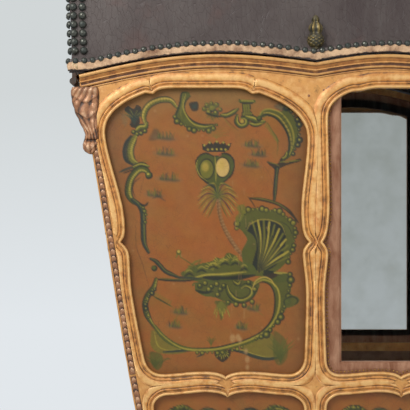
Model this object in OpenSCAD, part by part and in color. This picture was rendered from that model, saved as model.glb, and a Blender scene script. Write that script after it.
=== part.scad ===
// Sedan chair: a carried cabin with carved side frames, painted panels, a hinged roof,
// a front door and two poles that slide out of their rings.
// +X is forward, +Y is the passenger's left, +Z is up. The origin is on the ground,
// below the middle of the poles.

/* [Cabin] */
// Width over the side frames
cabin_w = 700; // [580:5:850]
// Where the front face stands
front_x = 455; // [380:5:550]
// Where the back corner of the waist rail stands
back_x = -360; // [-430:5:-300]
// Height of the waist rail's top
waist_z = 782; // [640:2:940]
// Height of the side frames' crest at the corners
crest_z = 1457; // [1210:1:1750]
// Rise of the crest in the middle of each side arch
arch_rise = 31; // [0:1:60]
// Rise of the crest in the middle of the back and the front
cross_rise = 42; // [0:1:70]
// How much higher the crest is at the stile than at the corners
stile_rise = 27; // [0:1:60]
// Height of the sills' underside, over the feet
sill_z = 66; // [40:2:90]
// Height of the sills
sill_h = 104; // [70:2:130]
// Height of the floor's top over the sills' underside
floor_up = 38; // [24:1:60]
// Thickness of the floor board
floor_t = 18; // [12:1:24]
// Backward lean of the upper back edge, as a slope
back_lean = 0.163; // [0.05:0.001:0.25]
// Slope of the back edge below the waist
lower_lean = 0.2; // [0.05:0.01:0.3]
// Radius of a foot
foot_r = 27; // [18:1:36]

/* [Frames] */
// Where the stile between panel and window stands
stile_x = 60; // [0:2:120]
// Thickness of a frame's carved face layer
face_t = 12; // [8:1:20]
// Thickness of a frame's back layer
core_t = 16; // [14:1:24]
// Thickness of a panel
panel_t = 10; // [6:1:12]
// Gap around a panel in its rebate
panel_gap = 0.5; // [0.3:0.1:2]
// Width of the back layer at a post
core_post_w = 20; // [16:1:28]
// Width of the back layer at a stile
core_stile_w = 18; // [14:1:24]
// Width of a post's carved face
post_w = 40; // [34:1:52]
// Half width of the stile's carved face at its lobes
stile_half = 24; // [20:1:32]
// Width of the back frames' carved stiles
back_stile_w = 28; // [24:1:40]
// Height of the waist rail
waist_h = 38; // [30:1:60]
// Depth of the waist rail's plain middle
waist_core_h = 24; // [16:1:28]
// Height of the top rail's narrowest part
top_rail_h = 28; // [24:1:40]
// How far the cornice stands proud of the frame
cornice_out = 10; // [4:1:16]
// Height of the cornice strip
cornice_h = 26; // [16:1:30]
// How far the pointed cusps reach past their outlines
cusp_d = 11; // [5:1:14]
// How far an outline's lobes swell into its opening beside a cusp
lobe_d = 4; // [0:0.5:6]

/* [Windows] */
// Width of a side sash's border
sash_w = 50; // [40:1:60]
// Thickness of a side sash
sash_t = 11; // [8:1:12]
// Thickness of the glass
glass_t = 3; // [2:0.5:4]

/* [Door] */
// Width of the jamb on each side of the door
jamb_w = 30; // [24:1:50]
// Gap around the door
door_gap = 5; // [5:0.5:8]
// Thickness of the door
door_t = 26; // [24:1:34]
// Thickness of the door's carved face layer
door_face_t = 10; // [8:1:12]
// Width of the door's carved stiles
door_stile_w = 58; // [45:1:80]
// Height of the header over the door
header_h = 76; // [60:1:100]
// How far the hinge axis stands in front of the door
door_axis_out = 10; // [9:0.5:14]
// Radius of the door's hinge pins
door_pin_r = 3.5; // [3:0.5:5]
// Height of a door hinge's eye
door_eye_h = 40; // [24:1:60]
// Height of the door's knob over the waist rail
knob_up = 20; // [-100:5:120]

/* [Roof] */
// Gap between the roof and the frames
roof_gap = 5; // [5:0.5:8]
// Height of the roof's wooden rim
rim_h = 24; // [18:1:34]
// Width of the rim along the sides
rim_side_w = 40; // [34:1:50]
// Width of the rim along the back and the front
rim_end_w = 34; // [28:1:50]
// How far the rim stands past the side frames
roof_over_y = 12; // [8:1:20]
// How far the rim stands past the back and front faces
roof_over_x = 24; // [18:1:36]
// Width of the ledge outside the leather shell, along the sides
ledge_w = 30; // [26:1:36]
// Thickness of the leather-covered shell
shell_t = 10; // [8:1:14]
// Height of the shell's upright side at the corners
shell_side_h = 150; // [110:2:200]
// Rise of the dome over the shell's side
dome_rise = 112; // [60:2:160]
// Height of a finial
finial_h = 78; // [60:1:94]
// Radius of the roof's hinge pins
roof_pin_r = 4; // [3:0.5:6]
// Half the distance between the roof's hinges
roof_hinge_y = 180; // [120:5:230]

/* [Seat] */
// Height of the seat board's top
seat_z = 430; // [340:5:470]
// Depth of the seat board, front to back
seat_depth = 400; // [320:5:460]
// Thickness of the seat's boards
seat_t = 16; // [12:1:22]
// Thickness of the seat cushion
cushion_t = 80; // [50:2:100]
// Thickness of the back cushion
squab_t = 55; // [40:1:70]
// Height of the back cushion's top
squab_top = 1080; // [980:5:1160]
// Gap around a cushion
cushion_gap = 5; // [3:0.5:10]

/* [Poles] */
// Length of a pole
pole_len = 2800; // [2400:20:3400]
// Radius of a pole where it runs in its rings
pole_r = 23; // [18:1:28]
// Radius of a pole's grip
grip_r = 19; // [15:1:24]
// Length of a grip
grip_len = 260; // [180:10:400]
// Radial gap between a pole and a ring
ring_gap = 2; // [1:0.5:4]
// Wall of a ring
ring_wall = 6; // [4:0.5:10]
// Width of a ring along its pole
ring_w = 34; // [24:2:50]
// Height of the poles
pole_z = 545; // [520:5:660]
// Gap between a ring and the frame's face, filled by its plate
ring_out = 8; // [6:1:30]
// Height of a ring's plate
ring_plate_h = 120; // [80:2:160]

/* [Hidden] */
$fn = 48;

half_w = cabin_w / 2;
frame_t = face_t + core_t;
in_y = half_w - frame_t;
floor_z = sill_z + floor_up;
sill_top = sill_z + sill_h;
post_top = crest_z - 66;              // where posts and stile end under the top rail
post_zone = post_w + 40;              // how far a post's own wood may reach at its corners
stile_zone = stile_half + 38;
over = 1000;                          // reach of a cutting zone past the cabin
run_fit = 0.06;                       // radial clearance of a pin in its eye

// ---- the cabin's outline from the side ----

function back_edge(z) = z > waist_z ? back_x - back_lean * (z - waist_z)
    : back_x + lower_lean * (waist_z - z);
back_top_x = back_edge(crest_z);

// Crest of the side frames: two arches that meet in a dip over the stile
function arch(u) = crest_z + stile_rise * u + arch_rise * sin(180 * u);
function crest(x) = x < stile_x ? arch(max(0, (x - back_top_x) / (stile_x - back_top_x)))
    : arch(max(0, (front_x - x) / (front_x - stile_x)));
function cross_crest(y) = crest_z + cross_rise * cos(min(90, 90 * abs(y) / half_w));

// Places along the side where every crest line has a point
x_rear = back_top_x - roof_over_x;
x_fore = front_x + roof_over_x;
function steps(a, b, n) = [for (i = [0 : n]) a + (b - a) * i / n];
crest_xs = concat([x_rear], steps(back_top_x, stile_x, 18), steps(stile_x + (front_x - stile_x) / 14,
    front_x, 13), [x_fore]);
inner_xs = [for (x = crest_xs) if (x >= back_top_x && x <= front_x) x];
cross_ys = steps(-half_w, half_w, 20);

function backwards(v) = [for (i = [len(v) - 1 : -1 : 0]) v[i]];

// ---- scalloped sight outlines ----

// Cubic Bezier stretch from a to d, without its last point
function curve(a, b, c, d, n = 6) = [for (i = [0 : n - 1]) let (t = i / n, s = 1 - t)
    s * s * s * a + 3 * s * s * t * b + 3 * s * t * t * c + t * t * t * d];

// Half of an outline, from the middle of its foot up one side to the middle of its head.
// edge gives the side's place at a height, way is 1 or -1, head is the head's height,
// mid and head_mid are the middles, z0 the foot, zc the side cusp's height, cusp its depth, dip how far the
// foot's middle cusp drops, drop how far the head's does, r0 and r1 are the corner sizes,
// flare is how far the side widens under its upper corner.
function flank(edge, way, head, mid, head_mid, z0, zc, cusp, dip, drop, r0, r1, flare) = let (
    side = function (z, out) [edge(z) + way * out, z],
    foot = [mid, z0 - dip],
    run = abs(edge(z0) - mid),
    head_run = abs(edge(head) - head_mid),
    hump = [mid + way * run * 0.26, z0 + 3],
    foot_turn = [edge(z0) - way * r0, z0 - 3],
    foot_end = side(z0 + r0, 0),
    z_low = z0 + r0 + 0.55 * (zc - z0 - r0),
    z_high = zc + 0.3 * (head - r1 - zc),
    neck = side(head - r1, flare),
    neck_turn = [edge(head) - way * r1 * 0.92, head - r1 * 0.1],
    head_hump = [head_mid + way * head_run * 0.3, head + (drop == 0 ? 0 : 3)],
    crown = [head_mid, head - drop])
    concat(
        curve(foot, foot + [way * 3, dip * 0.8], hump - [way * run * 0.12, 0], hump, 5),
        curve(hump, hump + [way * run * 0.25, 0], foot_turn - [way * run * 0.25, 0], foot_turn, 4),
        curve(foot_turn, foot_turn + [way * r0 * 0.55, 1], side(z0 + r0 * 0.5, 0), foot_end, 6),
        curve(foot_end, side(z0 + r0 * 1.6, 1), side(z_low - 40, 4), side(z_low, 4), 4),
        curve(side(z_low, 4), side(z_low + 40, 4), side(zc - 44, -lobe_d), side(zc - 24, -lobe_d), 5),
        curve(side(zc - 24, -lobe_d), side(zc - 14, -lobe_d), side(zc - 7, cusp * 0.4), side(zc, cusp), 5),
        curve(side(zc, cusp), side(zc + 8, -cusp * 0.2), side(z_high - 44, -lobe_d - 2), side(z_high, -lobe_d - 3), 7),
        curve(side(z_high, -lobe_d - 3), side(z_high + 44, -lobe_d - 3), side(head - r1 * 1.5, flare), neck, 6),
        curve(neck, side(head - r1 * 0.5, flare), neck_turn + [way * r1 * 0.4, -r1 * 0.14], neck_turn, 8),
        curve(neck_turn, neck_turn - [way * r1 * 0.3, -r1 * 0.08], head_hump + [way * r1 * 0.5, 0], head_hump, 5),
        curve(head_hump, head_hump - [way * head_run * 0.15, 0],
            crown + [way * (drop == 0 ? head_run * 0.15 : 3), drop * 0.8], crown, 4),
        [crown]);

// A whole closed outline from its two sides
function outline(left, right, head, z0, zc, cusp, dip, drop, r0, r1, flare) = let (
    mid = (left(z0) + right(z0)) / 2,
    head_mid = (left(head) + right(head)) / 2,
    a = flank(right, 1, head, mid, head_mid, z0, zc, cusp, dip, drop, r0, r1, flare),
    b = flank(left, -1, head, mid, head_mid, z0, zc, cusp, dip, drop, r0, r1, flare))
    concat(a, [for (i = [len(b) - 2 : -1 : 1]) b[i]]);

rise_up = crest_z - waist_z;
cusp_z = waist_z + 0.444 * rise_up;
up_foot = waist_z + 4;
up_head = crest_z - top_rail_h;
post_side = function (z) back_edge(z) + post_w;
stile_back = function (z) stile_x - stile_half;
stile_front = function (z) stile_x + stile_half;
front_side = function (z) front_x - post_w + 6;
upper_sight = outline(post_side, stile_back, up_head, up_foot, cusp_z, cusp_d, 9, 0, 30, 112, 7);
window_sight = outline(stile_front, front_side, up_head, up_foot, cusp_z, cusp_d - 2, 9, 0, 24, 66, -3);

low_foot = sill_top + 14;
low_head = waist_z - waist_h - 2;
low_cusp_z = low_foot + 0.55 * (low_head - low_foot);
rear_low_sight = outline(post_side, stile_back, low_head, low_foot, low_cusp_z, cusp_d, 8, 9, 30, 36, 0);
front_low_sight = outline(stile_front, front_side, low_head, low_foot, low_cusp_z, cusp_d, 8, 9, 24, 30, 0);

// A board with straight sides under a head line. Its top corners lie where they meet.
function under(side, head) = let (x = side(head(side(crest_z)))) [x, head(x)];
function board(left, right, z0, head, xs) = let (a = under(left, head), b = under(right, head)) concat(
    [[left(z0), z0], [right(z0), z0], b],
    backwards([for (x = xs) if (x > a[0] + 1 && x < b[0] - 1) [x, head(x)]]), [a]);

// ---- the side frames ----

side_outline = concat(
    [[back_edge(sill_top), sill_top], [front_x, sill_top]],
    backwards([for (x = inner_xs) [x, crest(x)]]), [[back_x, waist_z]]);

core_up = waist_z - (waist_h - waist_core_h) / 2;
core_low = core_up - waist_core_h;
core_head = function (x) crest(x) - core_rail_h;
core_rail_h = 18;                      // height of the top rail's back layer
upper_rebate = board(function (z) back_edge(z) + core_post_w, function (z) stile_x - core_stile_w / 2,
    core_up, core_head, inner_xs);
window_rebate = board(function (z) stile_x + core_stile_w / 2, function (z) front_x - core_post_w,
    core_up, core_head, inner_xs);
rear_low_rebate = [for (p = [[core_post_w, 0], [0, 0], [0, 1], [core_post_w, 1]])
    let (z = p[1] == 0 ? sill_top + 4 : core_low)
    p[0] == 0 ? [stile_x - core_stile_w / 2, z] : [back_edge(z) + core_post_w, z]];
front_low_rebate = [[stile_x + core_stile_w / 2, sill_top + 4], [front_x - core_post_w, sill_top + 4],
    [front_x - core_post_w, core_low], [stile_x + core_stile_w / 2, core_low]];

module upright(y0, y1) {
    // A drawing in X and Z made into a board between two places across the cabin
    translate([0, y1, 0]) rotate([90, 0, 0]) linear_extrude(y1 - y0) children();
}

module face_drawing() {
    difference() {
        polygon(side_outline);
        polygon(upper_sight);
        polygon(window_sight);
        polygon(rear_low_sight);
        polygon(front_low_sight);
    }
}

module core_drawing() {
    difference() {
        polygon(side_outline);
        polygon(upper_rebate);
        polygon(window_rebate);
        polygon(rear_low_rebate);
        polygon(front_low_rebate);
    }
}

// One member of the right side frame: what of the face and the core lies in a zone
module member() {
    upright(-half_w, -half_w + face_t) intersection() {
        face_drawing();
        children();
    }
    upright(-half_w + face_t, -in_y) intersection() {
        core_drawing();
        children();
    }
}

module rear_post_zone() {
    polygon([[back_edge(sill_top) - over, sill_top], [back_edge(sill_top) + post_zone, sill_top],
        [back_x + post_zone, waist_z], [back_edge(post_top) + post_zone, post_top],
        [back_edge(post_top) - over, post_top]]);
}

module stile_zone_drawing() {
    translate([stile_x - stile_zone, sill_top]) square([2 * stile_zone, post_top - sill_top]);
}

module front_post_zone() {
    translate([front_x - post_zone, sill_top]) square([over, post_top - sill_top]);
}

module rear_post() {
    color("goldenrod") member() rear_post_zone();
}

module stile() {
    color("goldenrod") member() stile_zone_drawing();
}

module front_post() {
    color("goldenrod") member() front_post_zone();
}

module waist_rails() {
    color("goldenrod") member() difference() {
        translate([back_x - over, rail_zone_low]) square([2 * over, rail_zone_high - rail_zone_low]);
        rear_post_zone();
        stile_zone_drawing();
        front_post_zone();
    }
}
rail_zone_low = low_foot + 60;
rail_zone_high = post_top - 60;

module top_rail() {
    color("goldenrod") {
        member() translate([back_x - over, post_top]) square([2 * over, over]);
        // The cornice steps out three times towards the crest
        for (k = [1 : 3]) upright(-half_w - cornice_out * k / 3, -half_w) polygon(concat(
            [for (x = inner_xs) [x, crest(x) - cornice_h * (4 - k) / 3]],
            backwards([for (x = inner_xs) [x, crest(x)]])));
    }
}

module upper_panel() {
    color("peru") upright(-half_w + face_t, -half_w + face_t + panel_t) polygon(board(
        function (z) back_edge(z) + core_post_w + panel_gap,
        function (z) stile_x - core_stile_w / 2 - panel_gap,
        core_up + panel_gap, function (x) core_head(x) - panel_gap, inner_xs));
}

module rear_lower_panel() {
    low = sill_top + 4 + panel_gap;
    high = core_low - panel_gap;
    right = stile_x - core_stile_w / 2 - panel_gap;
    color("peru") upright(-half_w + face_t, -half_w + face_t + panel_t) polygon([
        [back_edge(low) + core_post_w + panel_gap, low], [right, low],
        [right, high], [back_edge(high) + core_post_w + panel_gap, high]]);
}

module front_lower_panel() {
    low = sill_top + 4 + panel_gap;
    left = stile_x + core_stile_w / 2 + panel_gap;
    color("peru") upright(-half_w + face_t, -half_w + face_t + panel_t)
        translate([left, low]) square([front_x - core_post_w - panel_gap - left, core_low - panel_gap - low]);
}

sash_left = stile_x + core_stile_w / 2 + panel_gap;
sash_right = front_x - core_post_w - panel_gap;
sash_foot = core_up + panel_gap;
sash_outline = board(function (z) sash_left, function (z) sash_right, sash_foot,
    function (x) core_head(x) - panel_gap, inner_xs);
pane_head = function (x) core_head(x) - panel_gap - sash_w + 8;
pane_outline = board(function (z) sash_left + sash_w, function (z) sash_right - sash_w, sash_foot + sash_w - 14,
    pane_head, inner_xs);

module sash() {
    color("rosybrown") upright(-half_w + face_t, -half_w + face_t + sash_t) difference() {
        polygon(sash_outline);
        polygon(pane_outline);
    }
}

module window_glass() {
    y = -half_w + face_t + sash_t;
    color("lightcyan") upright(y, y + glass_t) polygon(board(
        function (z) sash_left + 20, function (z) sash_right - 20, sash_foot + 20,
        function (x) core_head(x) - panel_gap - 20, inner_xs));
}

// ---- the base ----

module side_sill() {
    span = front_x - back_edge(sill_top);
    apron = [for (i = [0 : 16]) let (u = i / 16) [back_edge(sill_z) + 70 + u * (front_x - back_edge(sill_z) - 140),
        sill_z + 22 * pow(sin(180 * u), 0.6)]];
    upright(-half_w, -in_y + 8) polygon(concat([[back_edge(sill_z), sill_z]], apron,
        [[front_x, sill_z], [front_x, sill_top], [back_edge(sill_top), sill_top]]));
}

module side_sills() {
    color("goldenrod") {
        side_sill();
        mirror([0, 1, 0]) side_sill();
    }
}
sill_in = in_y - 8;
end_t = 26;                            // thickness of the sills across the ends

module across(x0, x1) {
    // A drawing in Y and Z made into a board between two places along the cabin
    translate([x0, 0, 0]) rotate([90, 0, 90]) linear_extrude(x1 - x0) children();
}

module back_sill() {
    color("goldenrod") upright(-sill_in, sill_in) polygon([
        [back_edge(sill_z), sill_z], [back_edge(sill_z) + end_t, sill_z],
        [back_edge(sill_top) + end_t, sill_top], [back_edge(sill_top), sill_top]]);
}

module front_sill() {
    color("goldenrod") across(front_x - end_t - 2, front_x)
        translate([-sill_in, sill_z]) square([2 * sill_in, floor_up]);
}

module floor_board() {
    // One board under the seat and one for the feet, with a hairline between them
    x0 = back_edge(floor_z - floor_t) + end_t;
    x1 = front_x - end_t - 2;
    color("sienna") for (run = [[x0, seat_front], [seat_front + 1, x1]])
        translate([run[0], -sill_in, floor_z - floor_t]) cube([run[1] - run[0], 2 * sill_in, floor_t]);
}

module feet() {
    profile = [[0, 0], [foot_r * 0.6, 0], [foot_r * 0.95, sill_z * 0.2], [foot_r, sill_z * 0.4],
        [foot_r * 0.85, sill_z * 0.6], [foot_r * 0.55, sill_z * 0.74], [foot_r * 0.62, sill_z * 0.84],
        [foot_r * 0.8, sill_z * 0.9], [foot_r * 0.8, sill_z], [0, sill_z]];
    color("goldenrod") for (x = [back_edge(sill_z) + foot_r + 6, front_x - foot_r - 3], side = [-1, 1])
        translate([x, side * (half_w - foot_r * 0.8), 0]) rotate_extrude() polygon(profile);
}

// ---- the back ----

lean_up = atan(back_lean);
lean_low = atan(lower_lean);
back_rise = rise_up / cos(lean_up);
back_drop = (waist_z - sill_top) / cos(lean_low);

module leaning_up() {
    translate([back_x, 0, waist_z]) rotate([0, -lean_up, 0]) children();
}

module leaning_down() {
    translate([back_x, 0, waist_z]) rotate([0, -lean_low, 0]) children();
}
back_head = function (y) back_rise + (cross_crest(y) - crest_z) / cos(lean_up);
back_w = in_y;
back_left = function (z) -back_w + back_stile_w;
back_right = function (z) back_w - back_stile_w;
back_up_sight = outline(back_left, back_right, back_rise - top_rail_h + 8, 26, back_rise * 0.444, cusp_d - 2, 9, 0,
    36, 100, 4);
back_low_sight = outline(back_left, back_right, -28, 16 - back_drop, -back_drop * 0.45, cusp_d - 2, 8, 9, 30, 34, 0);
inner_ys = [for (y = cross_ys) if (abs(y) < back_w) y];
back_up_outline = concat([[-back_w, 1.5], [back_w, 1.5], [back_w, back_head(back_w)]],
    backwards([for (y = inner_ys) [y, back_head(y)]]), [[-back_w, back_head(back_w)]]);
back_core = 14;

module back_upper_frame() {
    color("goldenrod") leaning_up() {
        across(0, face_t) difference() {
            polygon(back_up_outline);
            polygon(back_up_sight);
        }
        across(face_t, frame_t) difference() {
            polygon(back_up_outline);
            translate([-back_w + back_core, 14]) square([2 * (back_w - back_core), back_rise - top_rail_h - 12]);
        }
    }
}

module back_upper_panel() {
    color("peru") leaning_up() across(face_t, face_t + panel_t)
        translate([-back_w + back_core + panel_gap, 14 + panel_gap])
        square([2 * (back_w - back_core - panel_gap), back_rise - top_rail_h - 12 - 2 * panel_gap]);
}

module back_lower_frame() {
    whole = [[-back_w, -back_drop + 4], [back_w, -back_drop + 4], [back_w, -1.5], [-back_w, -1.5]];
    color("goldenrod") leaning_down() {
        across(0, face_t) difference() {
            polygon(whole);
            polygon(back_low_sight);
        }
        across(face_t, frame_t) difference() {
            polygon(whole);
            translate([-back_w + back_core, 10 - back_drop]) square([2 * (back_w - back_core), back_drop - 34]);
        }
    }
}

module back_lower_panel() {
    color("peru") leaning_down() across(face_t, face_t + panel_t)
        translate([-back_w + back_core + panel_gap, 10 - back_drop + panel_gap])
        square([2 * (back_w - back_core - panel_gap), back_drop - 34 - 2 * panel_gap]);
}

// ---- the front and its door ----

door_half = in_y - jamb_w - door_gap;
door_foot = floor_z + door_gap;
door_head = function (y) cross_crest(y) - header_h - door_gap;
front_outline = concat([[sill_in, floor_z], [sill_in, sill_top], [in_y, sill_top], [in_y, cross_crest(in_y)]],
    backwards([for (y = inner_ys) [y, cross_crest(y)]]),
    [[-in_y, cross_crest(in_y)], [-in_y, sill_top], [-sill_in, sill_top], [-sill_in, floor_z]]);
function arched(half, foot, head, ys) = concat([[-half, foot], [half, foot], [half, head(half)]],
    backwards([for (y = ys) if (abs(y) < half) [y, head(y)]]), [[-half, head(half)]]);

module front_surround() {
    color("goldenrod") across(front_x - frame_t, front_x) difference() {
        polygon(front_outline);
        polygon(arched(in_y - jamb_w, floor_z - 1, function (y) cross_crest(y) - header_h, cross_ys));
    }
}

door_x = front_x - 1;
door_back = door_x - door_t;
door_sight_half = door_half - door_stile_w + 18;
door_left = function (z) -door_sight_half;
door_right = function (z) door_sight_half;
door_window_sight = outline(door_left, door_right, door_head(0) - 46, waist_z + 14, cusp_z, cusp_d - 2, 9, 0, 30,
    100, 4);
door_low_sight = outline(door_left, door_right, waist_z - 34, door_foot + 58, low_cusp_z, cusp_d - 2, 8, 9, 30, 34, 0);
door_core = 26;

module door_window_board(gap) {
    polygon(arched(door_half - door_core - gap, waist_z + 2 + gap,
        function (y) door_head(y) - 26 - gap, cross_ys));
}

module door_panel_board(gap) {
    translate([-(door_half - door_core - gap), door_foot + 44 + gap])
        square([2 * (door_half - door_core - gap), waist_z - 22 - door_foot - 44 - 2 * gap]);
}

module door_frame() {
    whole = arched(door_half, door_foot, door_head, cross_ys);
    color("goldenrod") {
        across(door_x - door_face_t, door_x) difference() {
            polygon(whole);
            polygon(door_window_sight);
            polygon(door_low_sight);
        }
        across(door_back, door_x - door_face_t) difference() {
            polygon(whole);
            door_window_board(0);
            door_panel_board(0);
        }
    }
}

module door_panel() {
    color("peru") across(door_x - door_face_t - panel_t, door_x - door_face_t) door_panel_board(panel_gap);
}

module door_glass() {
    color("lightcyan") across(door_x - door_face_t - glass_t, door_x - door_face_t) door_window_board(panel_gap);
}

knob_y = -door_half + 22;
module door_knob() {
    color("gold") translate([door_x, knob_y, waist_z + knob_up]) rotate([0, 90, 0]) rotate_extrude()
        polygon([[0, 0], [15, 0], [15, 2], [11, 4], [6, 6], [5, 14], [9, 17], [14, 21], [15, 26], [12, 31],
            [6, 34], [0, 35]]);
}

hinge_y = door_half + door_gap * 0.8;
hinge_x = door_x + door_axis_out;
leaf_t = 4;
eye_r = door_pin_r + 3.5;
door_hinge_zs = [floor_z + 190, waist_z - 30, crest_z - 250];

module door_hinge_eyes() {
    color("gold") for (z = door_hinge_zs) difference() {
        union() {
            translate([hinge_x, hinge_y, z - door_eye_h / 2]) cylinder(r = eye_r, h = door_eye_h);
            translate([door_x, hinge_y - 46, z - door_eye_h / 2]) cube([leaf_t, 46, door_eye_h]);
        }
        translate([hinge_x, hinge_y, z - door_eye_h]) cylinder(r = door_pin_r + run_fit, h = 2 * door_eye_h);
    }
}

module door_hinge_pins() {
    lug = 16;
    clear = 0.5;
    color("gold") for (z = door_hinge_zs) {
        translate([hinge_x, hinge_y, z - door_eye_h / 2 - lug]) cylinder(r = door_pin_r, h = door_eye_h + 2 * lug);
        for (low = [z - door_eye_h / 2 - clear - lug, z + door_eye_h / 2 + clear]) {
            translate([hinge_x, hinge_y, low]) cylinder(r = eye_r, h = lug);
            translate([front_x, hinge_y + 1.5, low]) cube([hinge_x - front_x, 26, lug]);
        }
    }
}

// ---- the seat ----

seat_back = function (z) back_edge(z) + frame_t + 2;
seat_front = seat_back(seat_z) + seat_depth;

module seat_box() {
    color("sienna") {
        upright(-in_y + 2, in_y - 2) polygon([
            [seat_front - seat_t, sill_top], [seat_front, sill_top], [seat_front, seat_z],
            [seat_back(seat_z - seat_t), seat_z], [seat_back(seat_z - seat_t), seat_z - seat_t],
            [seat_front - seat_t, seat_z - seat_t]]);
        upright(-sill_in, sill_in) translate([seat_front - seat_t, floor_z]) square([seat_t, sill_top - floor_z]);
    }
}

module seat_cushion() {
    x0 = seat_back(seat_z) + cushion_gap;
    color("rosybrown") translate([x0, -in_y + 2 + cushion_gap, seat_z])
        cube([seat_front - x0, 2 * (in_y - 2 - cushion_gap), cushion_t]);
}

module back_cushion() {
    low = seat_z + cushion_t + cushion_gap;
    color("rosybrown") upright(-in_y + 2 + cushion_gap, in_y - 2 - cushion_gap) polygon([
        [seat_back(low), low], [seat_back(low) + squab_t, low], [seat_back(waist_z) + squab_t, waist_z],
        [seat_back(squab_top) + squab_t, squab_top], [seat_back(squab_top), squab_top],
        [seat_back(waist_z), waist_z]]);
}

// ---- corner carvings ----

carve_h = 150;
carve_out = 24;
carve_t = 14;
carve_w = 36;
// A console seen from the side: broad leaf head, a neck, and a small scroll at its foot
function console(z_top, edge) = concat(
    curve([edge(z_top) - carve_out, z_top], [edge(z_top) - carve_out - 3, z_top - 40],
        [edge(z_top - 90) - 22, z_top - 70], [edge(z_top - 100) - 12, z_top - 100], 6),
    curve([edge(z_top - 100) - 12, z_top - 100], [edge(z_top - 120) - 8, z_top - 120],
        [edge(z_top - 120) - 24, z_top - 138], [edge(z_top - 150) - 8, z_top - carve_h], 6),
    curve([edge(z_top - 150) - 8, z_top - carve_h], [edge(z_top - 150) + 10, z_top - carve_h - 2],
        [edge(z_top - 120) + 22, z_top - 130], [edge(z_top - 100) + 20, z_top - 100], 6),
    curve([edge(z_top - 100) + 20, z_top - 100], [edge(z_top - 60) + 22, z_top - 70],
        [edge(z_top) + 36, z_top - 40], [edge(z_top) + carve_w, z_top], 6),
    [[edge(z_top) + carve_w, z_top]]);

module console_outer(z_top, edge) {
    upright(-half_w - carve_t, -half_w) polygon(console(z_top, edge));
    upright(-half_w, -half_w + 30) difference() {
        polygon(console(z_top, edge));
        polygon([[edge(z_top + 50), z_top + 50], [edge(z_top - 200), z_top - 200], [over, z_top - 200],
            [over, z_top + 50]]);
    }
}

module corner_carvings() {
    top = crest_z - cornice_h - 1;
    fore = function (z) -front_x;
    color("goldenrod") for (side = [0, 1]) mirror([0, side, 0]) {
        console_outer(top, function (z) back_edge(z));
        mirror([1, 0, 0]) console_outer(top, fore);
    }
}

// ---- the roof ----

rim_y = half_w + roof_over_y;
// The crest that the rim's sides clear: at the corners the end frames stand higher than the side
side_crest = function (x) max(crest(x), cross_crest(in_y));
rim_foot = function (x) side_crest(x) + roof_gap;

module roof_rim() {
    color("saddlebrown") {
        for (side = [-1, 1]) upright(side < 0 ? -rim_y : rim_y - rim_side_w, side < 0 ? -rim_y + rim_side_w : rim_y)
            polygon(concat([for (x = crest_xs) [x, rim_foot(x)]],
                backwards([for (x = crest_xs) [x, rim_foot(x) + rim_h]])));
        for (x = [x_rear, x_fore - rim_end_w]) across(x, x + rim_end_w) polygon(concat(
            [for (y = cross_ys) [y, cross_crest(y) + roof_gap]],
            backwards([for (y = cross_ys) [y, cross_crest(y) + roof_gap + rim_h]])));
    }
}

shell_y = rim_y - ledge_w;
shell_mid = (x_rear + x_fore) / 2;
shell_x = (x_fore - x_rear) / 2 - 2;
shell_r = 14;
side_xs = [for (x = crest_xs) if (abs(x - shell_mid) < shell_x - shell_r - 3) x];
end_ys = [for (y = cross_ys) if (abs(y) < shell_y - shell_r - 3) y];
// Plan of the shell: a rectangle with small round corners, counterclockwise from the right rear.
// s scales the points between the corners; at 1 they stand over the rim's own points.
function round_corner(cx, cy, a0, r) = [for (i = [0 : 3]) let (a = a0 + 90 * i / 3)
    [cx + r * cos(a), cy + r * sin(a)]];
function shell_plan(hx, hy, r, s) = concat(
    round_corner(shell_mid - hx + r, -hy + r, 180, r), [for (x = side_xs) [shell_mid + (x - shell_mid) * s, -hy]],
    round_corner(shell_mid + hx - r, -hy + r, 270, r), [for (y = end_ys) [shell_mid + hx, y * s]],
    round_corner(shell_mid + hx - r, hy - r, 0, r),
    backwards([for (x = side_xs) [shell_mid + (x - shell_mid) * s, hy]]),
    round_corner(shell_mid - hx + r, hy - r, 90, r), backwards([for (y = end_ys) [shell_mid - hx, y * s]]));
shoulder_z = crest_z + roof_gap + rim_h + shell_side_h;
// Height of the rim's top under a point of the plan
function over_side(p) = abs(p[1]) >= shell_y - shell_r - 0.5;
function over_end(p) = p[0] < x_rear + rim_end_w + 1 || p[0] > x_fore - rim_end_w - 1;
function rim_top(p) = roof_gap + rim_h + 0.25
    + max(over_side(p) ? side_crest(p[0]) : 0, over_end(p) ? cross_crest(p[1]) : 0);

// Rings of one skin of the shell, from its foot to near its top. g is the skin's inset.
function skin(g) = concat(
    [for (k = [0 : 2]) let (f = k / 3, flare = 5 * sin(90 * f))
        [for (p = shell_plan(shell_x - g + flare, shell_y - g + flare, max(2, shell_r - g), 1))
            let (z0 = rim_top(p)) [p[0], p[1], z0 + (shoulder_z - z0) * f]]],
    [for (k = [0 : 7]) let (a = 11.5 * k, s = pow(cos(a), 0.8))
        [for (p = shell_plan((shell_x - g + 5) * s, (shell_y - g + 5) * s, max(2, shell_r - g) * s, s))
            [p[0], p[1], shoulder_z + (dome_rise - g) * sin(a)]]]);

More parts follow.
